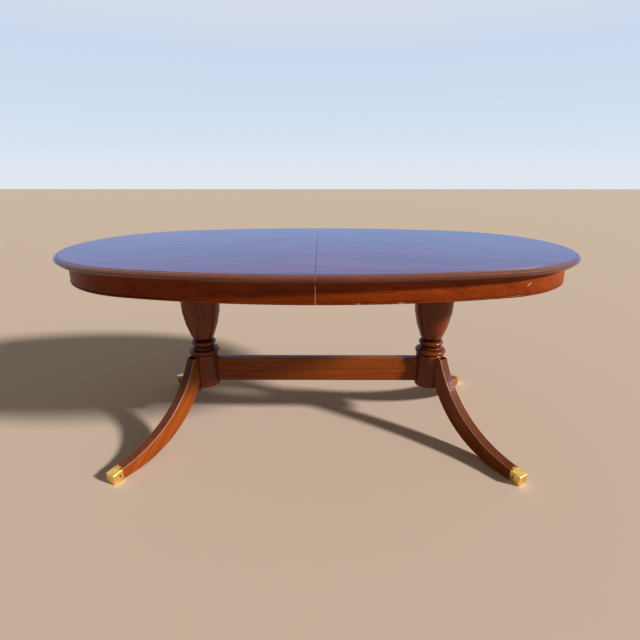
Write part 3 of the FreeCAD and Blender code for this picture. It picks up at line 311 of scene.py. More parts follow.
def worn_and_highlit_edges(tree, grain):
    """How pale the wood is where the legs' mark asks, bare wood and painted highlight: all along, and more in
    patches.
    """
    wear_and_highlight = add_node(tree, "ShaderNodeAttribute", attribute_name="wear_and_highlight").outputs["Fac"]
    patches = stretched_noise(tree, grain, PATCH_STRETCH, 3.0)
    pale_share = add_node(tree, "ShaderNodeMath", operation="MULTIPLY")
    tree.links.new(wear_and_highlight, pale_share.inputs[0])
    tree.links.new(span(tree, patches, 0.36, 0.62, 0.5, 1.0), pale_share.inputs[1])
    return pale_share.outputs["Value"]


def dark_grooves(tree):
    """How dark the quirks are made."""
    groove = add_node(tree, "ShaderNodeAttribute", attribute_name="groove").outputs["Fac"]
    return span(tree, groove, 0.0, 1.0, 0.0, QUIRK_DARK_SHARE)


def worn_seam(tree, place):
    """The two halves knock together at the seam, so its edges are bare."""
    split = add_node(tree, "ShaderNodeSeparateXYZ")
    tree.links.new(place, split.inputs["Vector"])
    off_seam = add_node(tree, "ShaderNodeMath", operation="ABSOLUTE")
    tree.links.new(split.outputs["X"], off_seam.inputs[0])
    return span(tree, off_seam.outputs["Value"], SEAM_EDGE, SEAM_WEAR, SEAM_BARE_SHARE, 0.0)


def chip(tree, place, spot, turn, reach):
    """A bare mark of an oval shape, at a spot of the table."""
    mark = add_node(tree, "ShaderNodeMapping", {"Location": spot, "Rotation": turn, "Scale": reach},
                    vector_type="TEXTURE")
    tree.links.new(place, mark.inputs["Vector"])
    off_middle = add_node(tree, "ShaderNodeVectorMath", operation="LENGTH")
    tree.links.new(mark.outputs["Vector"], off_middle.inputs[0])
    return span(tree, off_middle.outputs["Value"], 0.5, 1.0, CHIP_BARE_SHARE, 0.0)


def mahogany(name, tones, specular, coat, seam_worn=False, chips=()):
    """Lacquered mahogany whose grain follows the piece."""
    dark, middle, light = tones
    material, tree, shader = new_material(name)
    grain = add_node(tree, "ShaderNodeAttribute", attribute_name="grain").outputs["Vector"]
    place = add_node(tree, "ShaderNodeTexCoord").outputs["Object"]
    streaks = stretched_noise(tree, grain, STREAK_STRETCH, 5.0, 0.6)
    pores = stretched_noise(tree, grain, PORE_STRETCH, 2.0)
    cloud = stretched_noise(tree, grain, CLOUD_STRETCH, 2.0, 0.8)
    colour = ramp(tree, streaks, [(0.3, dark), (0.5, middle), (0.74, light)])
    colour = blend_colour(tree, "MULTIPLY", span(tree, pores, 0.56, 0.7, 0.0, 0.35), colour, (*dark, 1.0))
    colour = blend_colour(tree, "MULTIPLY", span(tree, cloud, 0.42, 0.66, 0.0, 1.0), colour, CLOUD_TONE)
    grooves = dark_grooves(tree)
    colour = blend_colour(tree, "MULTIPLY", grooves, colour, QUIRK_DARK_TONE)
    # Pale on the legs' edges: wear and painted highlight.
    colour = blend_colour(tree, "MIX", worn_and_highlit_edges(tree, grain), colour, BARE_AND_HIGHLIGHT_MAHOGANY)
    if seam_worn:
        colour = blend_colour(tree, "MIX", worn_seam(tree, place), colour, BARE_AND_HIGHLIGHT_MAHOGANY)
    for spot, turn, reach in chips:
        colour = blend_colour(tree, "MIX", chip(tree, place, spot, turn, reach), colour, BARE_AND_HIGHLIGHT_MAHOGANY)
    tree.links.new(colour, shader.inputs["Base Color"])
    tree.links.new(span(tree, streaks, *NOISE_RANGE, *MAHOGANY_ROUGHNESS), shader.inputs["Roughness"])
    relief(tree, shader, pores, 0.15, PORE_DEPTH)
    tree.links.new(span(tree, grooves, 0.0, QUIRK_DARK_SHARE, coat, 0.0), shader.inputs["Coat Weight"])
    shader.inputs["Specular IOR Level"].default_value = specular
    shader.inputs["Coat Roughness"].default_value = LACQUER_ROUGHNESS
    return material


# %% The mahogany finishes
SOLID_TONES = ((0.22, 0.040, 0.003), (0.32, 0.064, 0.005), (0.40, 0.086, 0.007))
TURNED_TONES = ((0.16, 0.026, 0.003), (0.22, 0.039, 0.004), (0.28, 0.054, 0.006))
BENT_TONES = ((0.27, 0.036, 0.002), (0.38, 0.055, 0.003), (0.47, 0.075, 0.004))
LIPPING_TONES = ((0.12, 0.017, 0.002), (0.17, 0.026, 0.003), (0.22, 0.037, 0.005))
SCRATCH_SPOT = Vector((629.5, -395, 706)) * MM
SCRATCH_TURN = (0, math.radians(-31), math.radians(25))
SCRATCH_REACH = Vector((13, 4, 2)) * MM
BEAD_CHIP_SPOT = Vector((119, -494, 673)) * MM
BEAD_CHIP_REACH = Vector((6, 4, 1.6)) * MM
LONG_CHIP_SPOT = Vector((240, -484, 673)) * MM
LONG_CHIP_TURN = (0, 0, math.radians(5))
LONG_CHIP_REACH = Vector((13, 4, 1.3)) * MM
CHIPS = (
    (SCRATCH_SPOT, SCRATCH_TURN, SCRATCH_REACH),
    (BEAD_CHIP_SPOT, (0, 0, 0), BEAD_CHIP_REACH),
    (LONG_CHIP_SPOT, LONG_CHIP_TURN, LONG_CHIP_REACH),
)
mahogany_solid = mahogany("mahogany_solid", SOLID_TONES, 0.08, 0.25)
mahogany_turned = mahogany("mahogany_turned", TURNED_TONES, 0.1, 0.42)
mahogany_bent = mahogany("mahogany_bent", BENT_TONES, 0.06, 0.1, True, CHIPS)
mahogany_lipping = mahogany("mahogany_lipping", LIPPING_TONES, 0.2, 0.8, True)
print("mahogany", mahogany_solid.name, mahogany_turned.name, mahogany_bent.name, mahogany_lipping.name)

# %% [markdown]
# The top is veneer under a hard polish, so it mirrors what stands behind it.
# Its figure is broad and faint. The polish is a coat with almost no roughness over a dark red-brown.

# %% Top veneer
VENEER_STOPS = [(0.3, (0.14, 0.014, 0.003)), (0.5, (0.22, 0.025, 0.005)), (0.7, (0.31, 0.046, 0.010))]
LINE_TONE = (0.45, 0.36, 0.33, 1.0)
FIGURE_STRETCH = (1.4, 11.0, 11.0)
LINE_STRETCH = (5.0, 140.0, 140.0)
HAZE_STRETCH = (3.0, 4.0, 4.0)
HAZE_DEPTH = 1.0 * MM
VENEER_ROUGHNESS = (0.3, 0.4)
POLISH_COAT_SHARE = 0.9
POLISH_ROUGHNESS = 0.03


def top_veneer(name):
    """Polished veneer with a broad figure."""
    material, tree, shader = new_material(name)
    grain = add_node(tree, "ShaderNodeAttribute", attribute_name="grain").outputs["Vector"]
    figure = stretched_noise(tree, grain, FIGURE_STRETCH, 4.0, 1.2)
    lines = stretched_noise(tree, grain, LINE_STRETCH, 4.0, 0.4)
    colour = ramp(tree, figure, VENEER_STOPS)
    line_share = span(tree, lines, 0.45, 0.7, 0.0, 0.6)
    colour = blend_colour(tree, "MULTIPLY", line_share, colour, LINE_TONE)
    tree.links.new(colour, shader.inputs["Base Color"])
    tree.links.new(span(tree, lines, *NOISE_RANGE, *VENEER_ROUGHNESS), shader.inputs["Roughness"])
    haze = stretched_noise(tree, grain, HAZE_STRETCH, 3.0)
    relief(tree, shader, haze, 0.02, HAZE_DEPTH)
    shader.inputs["Coat Weight"].default_value = POLISH_COAT_SHARE
    shader.inputs["Coat Roughness"].default_value = POLISH_ROUGHNESS
    return material


veneer = top_veneer("top_veneer")
print("veneer", veneer.name)

# %% [markdown]
# Each half of the flat top is one board inside the moulding.
# A vertex spun round the three arcs draws its edge, a face fills it, and an extrusion gives the thickness.
# A very small bevel on the upper edge leaves the dark line between the flat and the moulding.

# %% Top panels
SECTION_AXIS = Vector((1, 0, 0))
UP = Vector((0, 0, 1))
SIDE_STEPS = 20
END_STEPS = 72
PANEL_BEVEL = 0.7 * MM
ARRIS_STEPS = 2
MOULDING_WIDTH = 16 * MM
panel_low, panel_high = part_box("top_panel_right")
seam_turn = math.asin(seam / side_radius)
HALF_OVAL = (
    (Vector((0, side_centre, 0)), SIDE_ARC_ANGLE - seam_turn, SIDE_STEPS),
    (Vector((end_centre, 0, 0)), 2 * end_turn_limit, END_STEPS),
    (Vector((0, -side_centre, 0)), SIDE_ARC_ANGLE - seam_turn, SIDE_STEPS),
)


def spin_round_half():
    """Carry what is selected from the seam at the front, round the end, to the seam at the rear."""
    for centre, turn, steps in HALF_OVAL:
        bpy.ops.mesh.spin(steps=steps, angle=-turn, center=centre, axis=UP)


def dress(piece, material, slot, body, *replaced):
    """Finish, body and the CAD nodes that the piece stands for. The slot is not used."""
    piece.data.materials.clear()
    piece.data.materials.append(material)
    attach(piece, body)
    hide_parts(*replaced)
    print(count_of(piece))


panel = new_vertex("panel_right", Vector((seam, MOULDING_WIDTH - half_width, panel_high.z)))
spin_round_half()
bpy.ops.mesh.select_all(action="SELECT")
bpy.ops.mesh.edge_face_add()
bpy.ops.mesh.extrude_region_move(TRANSFORM_OT_translate={"value": (panel_low.z - panel_high.z) * UP})
select_edges(panel, lambda co: co.z > panel_high.z - PANEL_BEVEL)
bpy.ops.mesh.bevel(offset=PANEL_BEVEL, segments=ARRIS_STEPS)
close_up(panel)
VENEER_TURNS = {"right": math.radians(12), "left": math.radians(-9)}
for side_name, piece in (("right", panel), ("left", mirrored(panel, "panel_left"))):
    across = Matrix.Rotation(VENEER_TURNS[side_name], 3, UP)
    lay_grain(piece, lambda co: across @ co)
    dress(piece, veneer, "top_veneer", f"{side_name}_top", f"top_panel_{side_name}")

# %% [markdown]
# The lipping round the top has a rounded upper face and a hollow-looking lower one, with a thin nose between.
# Its section is drawn at the seam and spun round the half oval, which keeps the bend true and the edge crisp.

# %% Edge mouldings
QUIRK = 1.2 * MM
NOSE_DROP = 9 * MM
NOSE = 1.5 * MM
CROWN_RADIUS = 17 * MM
UNDER_RADIUS = 9 * MM


def at_front(inset, height):
    """A point of a section at the seam, set in from the table's front edge."""
    return Vector((seam, inset - half_width, height))


crown_start = at_front(0, table_height - NOSE_DROP)
crown_end = at_front(MOULDING_WIDTH, table_height - QUIRK)
chord = crown_end - crown_start
crown_height = math.sqrt(CROWN_RADIUS ** 2 - (chord.length / 2) ** 2)
crown_centre = (crown_start + crown_end) / 2 + crown_height * SECTION_AXIS.cross(-chord).normalized()
crown_turn = -2 * math.degrees(math.asin(chord.length / 2 / CROWN_RADIUS))
nose_bottom = table_height - NOSE_DROP - NOSE
moulding = new_vertex("moulding_right", at_front(UNDER_RADIUS, panel_low.z))
draw_steps(at_front(UNDER_RADIUS, panel_low.z), [
    (at_front(UNDER_RADIUS, nose_bottom - UNDER_RADIUS), 0),
    (at_front(UNDER_RADIUS, nose_bottom), -90),
    (crown_start, 0),
    (crown_centre, crown_turn),
    (at_front(MOULDING_WIDTH, panel_low.z), 0),
    (at_front(UNDER_RADIUS, panel_low.z), 0),
], SECTION_AXIS)
bpy.ops.mesh.select_all(action="SELECT")
bpy.ops.mesh.remove_doubles(threshold=MERGE_REACH)
spin_round_half()
bpy.ops.mesh.select_all(action="SELECT")
bpy.ops.mesh.fill_holes(sides=0)
close_up(moulding)
for side_name, piece in (("right", moulding), ("left", mirrored(moulding, "moulding_left"))):
    side = SIDES[side_name]
    lay_grain(piece, lambda co: (side * run_round(co), co.z, math.hypot(co.x, co.y)))
    shade(piece, ROUND_LIMIT)
    dress(piece, mahogany_lipping, "mahogany", f"{side_name}_top", f"edge_moulding_{side_name}")

# %% [markdown]
# The apron is bent wood under the top, with a small round bead along its lower edge.
# The bead catches the light, so it is real geometry: a half circle in the section, below a narrow quirk.

# %% Aprons
APRON_INSET = 40 * MM
APRON_THICKNESS = 22 * MM
BEAD = 3 * MM
BEAD_QUIRK = 1.5 * MM
apron_low, apron_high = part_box("apron_right")
bead_line = APRON_INSET + BEAD_QUIRK
bead_top = apron_low.z + 2 * BEAD
apron_start = at_front(bead_line, apron_low.z)
apron = new_vertex("apron_bent_right", apron_start)
draw_steps(apron_start, [
    (at_front(bead_line, apron_low.z + BEAD), -180),
    (at_front(bead_line, bead_top + BEAD_QUIRK), 0),
    (at_front(APRON_INSET, bead_top + BEAD_QUIRK), 0),
    (at_front(APRON_INSET, apron_high.z), 0),
    (at_front(APRON_INSET + APRON_THICKNESS, apron_high.z), 0),
    (at_front(APRON_INSET + APRON_THICKNESS, apron_low.z), 0),
    (apron_start, 0),
], SECTION_AXIS)
bpy.ops.mesh.select_all(action="SELECT")
bpy.ops.mesh.remove_doubles(threshold=MERGE_REACH)
spin_round_half()
bpy.ops.mesh.select_all(action="SELECT")
bpy.ops.mesh.fill_holes(sides=0)
close_up(apron)


def bead_darkening(spot):
    """The quirk above the bead is dark, and the bead itself a little."""
    if spot.z > bead_top + BEAD_QUIRK + MERGE_REACH or inset_of(spot) > bead_line + MERGE_REACH:
        return 0.0
    return 1.0 if spot.z > bead_top - MERGE_REACH and inset_of(spot) > bead_line - MERGE_REACH else 0.45


lay_mark(apron, "groove", bead_darkening)
for side_name, piece in (("right", apron), ("left", mirrored(apron, "apron_bent_left"))):
    side = SIDES[side_name]
    lay_grain(piece, lambda co: (side * run_round(co), co.z, math.hypot(co.x, co.y)))
    shade(piece, ROUND_LIMIT)
    dress(piece, mahogany_bent, "mahogany", f"{side_name}_top", f"apron_{side_name}")

# %% [markdown]
# The columns are turned on a lathe, so they are made as on a lathe: half a section spun round the axis.
# A bevel modifier then softens the arrises that a turner's sandpaper would soften too.

# %% Columns and hubs
LATHE_AXIS = Vector((0, -1, 0))
LATHE_STEPS = 96
TURNED_BEVEL = 0.9 * MM
ARRIS_LIMIT = math.radians(40)
UPRIGHT_GRAIN = Matrix(((0, 0, 1), (1, 0, 0), (0, 1, 0)))
pedestal_offset = sum(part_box("column_right"), Vector()).x / 2
hub_low, hub_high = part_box("hub_right")
HUB_RADIUS = (hub_high.x - hub_low.x) / 2
HUB_ROUND = 5 * MM
column_top = apron_low.z


def on_lathe(radius, height):
    """A point of a turned section, at a radius from the right column's axis."""
    return Vector((pedestal_offset + radius, 0, height))


def lathe(name, start, steps):
    """Turn a section round the right column's axis and soften its arrises."""
    piece = new_vertex(name, start)
    draw_steps(start, steps, LATHE_AXIS)
    bpy.ops.mesh.select_all(action="SELECT")
    bpy.ops.mesh.spin(steps=LATHE_STEPS, angle=math.tau, center=on_lathe(0, 0), axis=UP)
    close_up(piece)
    arris = piece.modifiers.new("arris", "BEVEL")
    arris.width = TURNED_BEVEL
    arris.segments = ARRIS_STEPS
    arris.limit_method = "ANGLE"
    arris.angle_limit = ARRIS_LIMIT
    bpy.ops.object.modifier_apply(modifier=arris.name)
    return piece


def stand_pair(piece, name, left_turn):
    """The turned piece and its copy on the other pedestal, with grain up the tree."""
    copy = copy_piece(piece, f"{name}_left")
    copy.location.x = -2 * pedestal_offset
    bpy.ops.object.transform_apply(location=True, rotation=True, scale=True)
    turns = {"right": Matrix.Identity(3), "left": Matrix.Rotation(left_turn, 3, UP)}
    for side_name, turned in (("right", piece), ("left", copy)):
        axis = Vector((SIDES[side_name] * pedestal_offset, 0, 0))
        lay_grain(turned, lambda co: UPRIGHT_GRAIN @ turns[side_name] @ (co - axis))
        shade(turned, ROUND_LIMIT)
        dress(turned, mahogany_turned, "mahogany", "base", f"{name.split('_')[0]}_{side_name}")


FOOT_RADIUS = 50 * MM
FOOT_HEIGHT = 2 * MM
COLLAR_NECK = 52 * MM
COLLAR_ROUND = 8.5 * MM
RING_NECK = 39 * MM
SMALL_ROUND = 5 * MM
GROOVE_RADIUS = 38 * MM
GROOVE_HEIGHT = 8 * MM
UPPER_ROUND = 9 * MM
NECK_HEIGHT = 3 * MM
VASE_RADIUS = 76 * MM
VASE_SWEEP_ANGLE = 23
VASE_FOOT_ROUND = 25 * MM
VASE_FOOT_ANGLE = 80
SHOULDER_ROUND = 48 * MM
SHOULDER_TURN = 62
PLATE_OVERHANG = 7 * MM
PLATE_HEIGHT = 12 * MM
CAP_NECK_RADIUS = 46 * MM
CAP_NECK_HEIGHT = 30.6 * MM
CAP_FLARE = 8 * MM
CAP_RADIUS = 62 * MM
CAP_HEIGHT = 22 * MM

collar_low = hub_high.z + FOOT_HEIGHT
small_low = collar_low + 2 * COLLAR_ROUND
groove_low = small_low + 2 * SMALL_ROUND
upper_low = groove_low + GROOVE_HEIGHT
vase_low = upper_low + 2 * UPPER_ROUND + NECK_HEIGHT
cap_low = column_top - CAP_HEIGHT
plate_high = cap_low - CAP_FLARE - CAP_NECK_HEIGHT
shoulder_high = plate_high - PLATE_HEIGHT
shoulder_radius = VASE_RADIUS - SHOULDER_ROUND * (1 - math.cos(math.radians(SHOULDER_TURN)))
plate_radius = shoulder_radius + PLATE_OVERHANG
vase_widest = shoulder_high - SHOULDER_ROUND * math.sin(math.radians(SHOULDER_TURN))
vase_rise = vase_widest - vase_low
sweep_angle = math.radians(VASE_SWEEP_ANGLE)
foot_angle = math.radians(VASE_FOOT_ANGLE)
vase_drop = (vase_rise - VASE_FOOT_ROUND * math.sin(foot_angle)) / math.sin(sweep_angle)
vase_centre = VASE_RADIUS - vase_drop - VASE_FOOT_ROUND
foot_centre = vase_centre + vase_drop * math.cos(sweep_angle)
foot_level = vase_widest - vase_drop * math.sin(sweep_angle)
vase_neck = foot_centre + VASE_FOOT_ROUND * math.cos(foot_angle)

column = lathe("column_turned_right", on_lathe(0, hub_high.z), [
    (on_lathe(FOOT_RADIUS, hub_high.z), 0),
    (on_lathe(FOOT_RADIUS, collar_low), 0),
    (on_lathe(COLLAR_NECK, collar_low), 0),
    (on_lathe(COLLAR_NECK, collar_low + COLLAR_ROUND), 180),
    (on_lathe(RING_NECK, small_low), 0),
    (on_lathe(RING_NECK, small_low + SMALL_ROUND), 180),
    (on_lathe(GROOVE_RADIUS, groove_low), 0),
    (on_lathe(GROOVE_RADIUS, upper_low), 0),
    (on_lathe(RING_NECK, upper_low), 0),
    (on_lathe(RING_NECK, upper_low + UPPER_ROUND), 180),
    (on_lathe(vase_neck, upper_low + 2 * UPPER_ROUND), 0),
    (on_lathe(vase_neck, vase_low), 0),
    (on_lathe(foot_centre, foot_level), VASE_FOOT_ANGLE - VASE_SWEEP_ANGLE),
    (on_lathe(vase_centre, vase_widest), VASE_SWEEP_ANGLE),
    (on_lathe(VASE_RADIUS - SHOULDER_ROUND, vase_widest), SHOULDER_TURN),
    (on_lathe(plate_radius, shoulder_high), 0),
    (on_lathe(plate_radius, plate_high), 0),
    (on_lathe(CAP_NECK_RADIUS, plate_high), 0),
    (on_lathe(CAP_NECK_RADIUS, cap_low - CAP_FLARE), 0),
    (on_lathe(CAP_RADIUS, cap_low), 0),
    (on_lathe(CAP_RADIUS, column_top), 0),
    (on_lathe(0, column_top), 0),
])


def neck_darkening(spot):
    """The necks between the rings, and the one under the collar, are dark."""
    radius = math.hypot(spot.x - pedestal_offset, spot.y)
    in_rings = small_low - TURNED_BEVEL < spot.z < vase_low + TURNED_BEVEL
    at_foot = abs(spot.z - collar_low) < TURNED_BEVEL
    in_neck = in_rings and radius < RING_NECK + TURNED_BEVEL
    under_collar = at_foot and radius < COLLAR_NECK + TURNED_BEVEL
    return float(in_neck or under_collar)


COLUMN_TURN = math.radians(100)
HUB_TURN = math.radians(75)
lay_mark(column, "groove", neck_darkening)
stand_pair(column, "column_turned", COLUMN_TURN)
hub = lathe("hub_turned_right", on_lathe(0, hub_low.z), [
    (on_lathe(HUB_RADIUS - HUB_ROUND, hub_low.z), 0),
    (on_lathe(HUB_RADIUS - HUB_ROUND, hub_low.z + HUB_ROUND), 90),
    (on_lathe(HUB_RADIUS, hub_high.z - HUB_ROUND), 0),
    (on_lathe(HUB_RADIUS - HUB_ROUND, hub_high.z - HUB_ROUND), 90),
    (on_lathe(0, hub_high.z), 0),
])
stand_pair(hub, "hub_turned", HUB_TURN)

# %% [markdown]
# The stretcher is a plain board on edge between the hubs.
# A cube takes its box from the frame, and a small bevel takes the knife edge off its corners.

# %% Stretcher
STRETCHER_BEVEL = 1.2 * MM
STRETCHER_BEVEL_STEPS = 3
UNIT_CUBE = 1
stretcher_low, stretcher_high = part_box("stretcher")
bpy.ops.object.select_all(action="DESELECT")
bpy.ops.mesh.primitive_cube_add(size=UNIT_CUBE, location=(stretcher_low + stretcher_high) / 2,
                                scale=stretcher_high - stretcher_low)
stretcher = bpy.context.object
stretcher.name = "stretcher_board"
bpy.ops.object.transform_apply(location=True, rotation=True, scale=True)
bpy.ops.object.mode_set(mode="EDIT")
bpy.ops.mesh.select_all(action="SELECT")
bpy.ops.mesh.bevel(offset=STRETCHER_BEVEL, segments=STRETCHER_BEVEL_STEPS)
close_up(stretcher)
lay_grain(stretcher, lambda co: co)
shade(stretcher, ROUND_LIMIT)
dress(stretcher, mahogany_solid, "mahogany", "base", "stretcher")

# %% [markdown]
# A sabre leg has a short straight at the top and sweeps out to its toe, with rounded reeds on its upper face.
# The reeds are one section that is extruded down the straight and spun round the sweep.
# The underside is a second strip with as many steps, and bridging the two makes the sides.
# The leg is modelled along X from its column, then copied and turned to its four places.

# %% One leg
LEG_RAKE = math.radians(67)
LEG_REACH = 472 * MM
LEG_WIDTH = 38 * MM
LEG_TOP_DROP = 5 * MM
LEG_TOP_RUN = 24 * MM
TOE_HEIGHT = 42 * MM
HEEL_LIFT = 30 * MM
TOE_RUN = 77 * MM
CAP_LENGTH = 40 * MM
CAP_WIDTH = 41 * MM
CAP_RISE = 44 * MM
CAP_TOE_RISE = 37 * MM
CAP_WALL = 3 * MM
REED_COUNT = 5
REED_WIDTH = 6.4 * MM
REED_DEPTH = 1.6 * MM
RAIL_DROP = 4 * MM
UNDER_ROUND = 1.5 * MM
OVERRUN = 60 * MM
REED_ARC_STEP = 17
STRAIGHT_STEPS = 8
SWEEP_STEPS = 32
UNDER_FLAT_STEPS = 4
ACROSS = Vector((0, 1, 0))

leg_seat = math.sqrt(HUB_RADIUS ** 2 - (LEG_WIDTH / 2) ** 2)
leg_top = hub_high.z - LEG_TOP_DROP
leg_run = LEG_REACH - leg_seat - LEG_TOP_RUN
leg_sweep = (leg_run - (leg_top - TOE_HEIGHT) / math.tan(LEG_RAKE)) / math.tan(LEG_RAKE / 2)
sweep_centre = Vector((LEG_REACH, 0, TOE_HEIGHT + leg_sweep))
cap_start = LEG_REACH - CAP_LENGTH
down_leg = Vector((math.cos(LEG_RAKE), 0, -math.sin(LEG_RAKE)))
out_of_leg = Vector((math.sin(LEG_RAKE), 0, math.cos(LEG_RAKE)))
bend = sweep_centre - leg_sweep * out_of_leg
straight = (leg_top + OVERRUN - bend.z) / math.sin(LEG_RAKE)
strip_start = bend - straight * down_leg
sweep_turn = LEG_RAKE - math.asin(CAP_LENGTH / leg_sweep)


def on_leg(side_way, depth):
    """A point of the reeds' section, across the leg and under its upper face."""
    return strip_start + side_way * ACROSS - depth * out_of_leg


reed_pitch = (LEG_WIDTH - REED_WIDTH) / (REED_COUNT - 1)
reed_radius = ((REED_WIDTH / 2) ** 2 + REED_DEPTH ** 2) / (2 * REED_DEPTH)
reed_turn = -2 * math.degrees(math.asin(REED_WIDTH / 2 / reed_radius))
reed_steps = [(on_leg(-LEG_WIDTH / 2, REED_DEPTH), 0)]
for number in range(REED_COUNT):
    middle = (number - (REED_COUNT - 1) / 2) * reed_pitch
    if number:
        reed_steps.append((on_leg(middle - REED_WIDTH / 2, REED_DEPTH), 0))
    reed_steps.append((on_leg(middle, reed_radius), reed_turn))
reed_steps.append((on_leg(LEG_WIDTH / 2, RAIL_DROP), 0))

leg = new_vertex("leg_master", on_leg(-LEG_WIDTH / 2, RAIL_DROP))
draw_steps(on_leg(-LEG_WIDTH / 2, RAIL_DROP), reed_steps, down_leg, REED_ARC_STEP)
bpy.ops.mesh.select_all(action="SELECT")
for step in range(STRAIGHT_STEPS):
    bpy.ops.mesh.extrude_edges_move(TRANSFORM_OT_translate={"value": straight / STRAIGHT_STEPS * down_leg})
bpy.ops.mesh.spin(steps=SWEEP_STEPS, angle=-sweep_turn, center=sweep_centre, axis=LATHE_AXIS)
print(count_of(leg), "in the reeds")

# %% The leg's underside and sides
heel = hub_low.z + HEEL_LIFT
under_run = LEG_REACH - TOE_RUN - leg_seat
under_rise = heel - CAP_WALL
under_sweep = (under_run ** 2 + under_rise ** 2) / (2 * under_rise)
under_centre = Vector((LEG_REACH - TOE_RUN, 0, CAP_WALL + under_sweep))
UNDER_OVERRUN = 12 * MM
under_turn = math.asin((under_run + UNDER_OVERRUN) / under_sweep)
under_out = Vector((math.sin(under_turn), 0, math.cos(under_turn)))
under_start = under_centre - under_sweep * under_out


def under_face(spot):
    """How deep a point of the leg lies under its upper face."""
    if (spot - sweep_centre).dot(down_leg) > 0:
        return math.hypot(spot.x - sweep_centre.x, spot.z - sweep_centre.z) - leg_sweep
    return (bend - spot).dot(out_of_leg)


def under_leg(side_way, height):
    """A point of the underside's section."""
    return under_start + side_way * ACROSS + height * under_out


flat_half = LEG_WIDTH / 2 - UNDER_ROUND
bpy.ops.object.mode_set(mode="OBJECT")
under = new_vertex("leg_under", under_leg(-LEG_WIDTH / 2, UNDER_ROUND))
draw_steps(under_leg(-LEG_WIDTH / 2, UNDER_ROUND), [
    (under_leg(-flat_half, UNDER_ROUND), 90),
    (under_leg(flat_half, 0), 0),
    (under_leg(flat_half, UNDER_ROUND), 90),
], Vector((under_out.z, 0, -under_out.x)))
bpy.ops.mesh.select_all(action="SELECT")
under_steps = STRAIGHT_STEPS + SWEEP_STEPS - UNDER_FLAT_STEPS
bpy.ops.mesh.spin(steps=under_steps, angle=-under_turn, center=under_centre, axis=LATHE_AXIS)
flat_step = (cap_start - under_centre.x) / UNDER_FLAT_STEPS
for step in range(UNDER_FLAT_STEPS):
    bpy.ops.mesh.extrude_edges_move(TRANSFORM_OT_translate={"value": (flat_step, 0, 0)})
bpy.ops.object.mode_set(mode="OBJECT")
leg.select_set(True)
bpy.context.view_layer.objects.active = leg
bpy.ops.object.join()
bpy.ops.object.mode_set(mode="EDIT")
rail_depth = (REED_DEPTH + RAIL_DROP) / 2
for face in FACES.values():
    flank = face * LEG_WIDTH / 2
    select_edges(leg, lambda co: abs(co.y - flank) < MERGE_REACH and under_face(co) > rail_depth)
    bpy.ops.mesh.bridge_edge_loops()
bpy.ops.mesh.select_all(action="SELECT")
bpy.ops.mesh.bisect(plane_co=(0, 0, leg_top), plane_no=UP, use_fill=True, clear_outer=True)
bpy.ops.mesh.select_all(action="SELECT")
bpy.ops.mesh.bisect(plane_co=(leg_seat, 0, 0), plane_no=SECTION_AXIS, use_fill=True, clear_inner=True)
bpy.ops.mesh.select_all(action="SELECT")
bpy.ops.mesh.fill_holes(sides=0)
close_up(leg)
print(count_of(leg))

# %% Legs in their places
LEG_SPLAY = math.radians(58)
GRAIN_TILT = Matrix.Rotation(math.radians(45), 3, ACROSS)
LEG_ROUND_LIMIT = 40
# The legs' pale mark is part wear, part painted highlight that grows up the leg.
LOW_RUB_AND_HIGHLIGHT_SHARE = 0.35
CROWN_RUB_AND_HIGHLIGHT_SHARE = 0.12
PALE_EDGE_FALL = 2


def rubbed_and_highlit(spot):
    """The leg's corners are pale with wear and painted highlight, the reeds' crowns a little, the highlight
    most up the leg.
    """
    if under_face(spot) > rail_depth:
        return 0.0
    off_reed = (LEG_WIDTH / 2 - abs(spot.y)) / REED_WIDTH
    edge_share = max(0.0, min(1.0, 1 - PALE_EDGE_FALL * off_reed))
    crown_share = CROWN_RUB_AND_HIGHLIGHT_SHARE * (1 - under_face(spot) / REED_DEPTH)
    rub_and_highlight_share = LOW_RUB_AND_HIGHLIGHT_SHARE + (1 - LOW_RUB_AND_HIGHLIGHT_SHARE) * spot.z / leg_top
    return max(edge_share, crown_share) * rub_and_highlight_share


def reed_quirk_darkening(spot):
    """The quirks between the reeds are dark, but not the pale corners."""
    on_face = under_face(spot) < rail_depth and abs(spot.y) < LEG_WIDTH / 2 - MERGE_REACH
    return math.sqrt(max(0.0, under_face(spot)) / REED_DEPTH) if on_face else 0.0


def to_its_leg(piece, side, face):
    """Turn a piece from the X axis to its leg's way and move it to its pedestal."""
    turn = face * LEG_SPLAY if side > 0 else math.pi - face * LEG_SPLAY
    piece.rotation_euler.z = turn
    piece.location.x = side * pedestal_offset
    bpy.ops.object.transform_apply(location=True, rotation=True, scale=True)


GRAIN_SHIFT = Vector((0.7, 0.31, 0.17))
PLACES = [(face_name, side_name) for face_name in FACES for side_name in SIDES]
shade(leg, LEG_ROUND_LIMIT)
# The legs' pale mark: wear and painted highlight.
lay_mark(leg, "wear_and_highlight", rubbed_and_highlit)
lay_mark(leg, "groove", reed_quirk_darkening)
for number, (face_name, side_name) in enumerate(PLACES):
    piece = copy_piece(leg, f"sabre_leg_{face_name}_{side_name}")
    lay_grain(piece, lambda co: GRAIN_TILT.inverted() @ co + number * GRAIN_SHIFT)
    to_its_leg(piece, SIDES[side_name], FACES[face_name])
    dress(piece, mahogany_solid, "mahogany", "base", f"leg_{face_name}_{side_name}")
bpy.data.objects.remove(leg)

# %% [markdown]
# The toes wear square brass caps, polished once and dulled since by floors and shoes.
# A cube is lowered at the toe and bevelled all round.
# Then it is inset at the top and raised a little for its crown.

# %% Brass
BRASS_STOPS = [(0.3, (0.66, 0.43, 0.10)), (0.5, (0.90, 0.62, 0.17)), (0.72, (0.98, 0.74, 0.27))]
DULL_STRETCH = (60.0, 60.0, 60.0)
RUB_STRETCH = (260.0, 260.0, 2400.0)
RUB_DEPTH = 0.1 * MM
BRASS_ROUGHNESS = (0.3, 0.48)


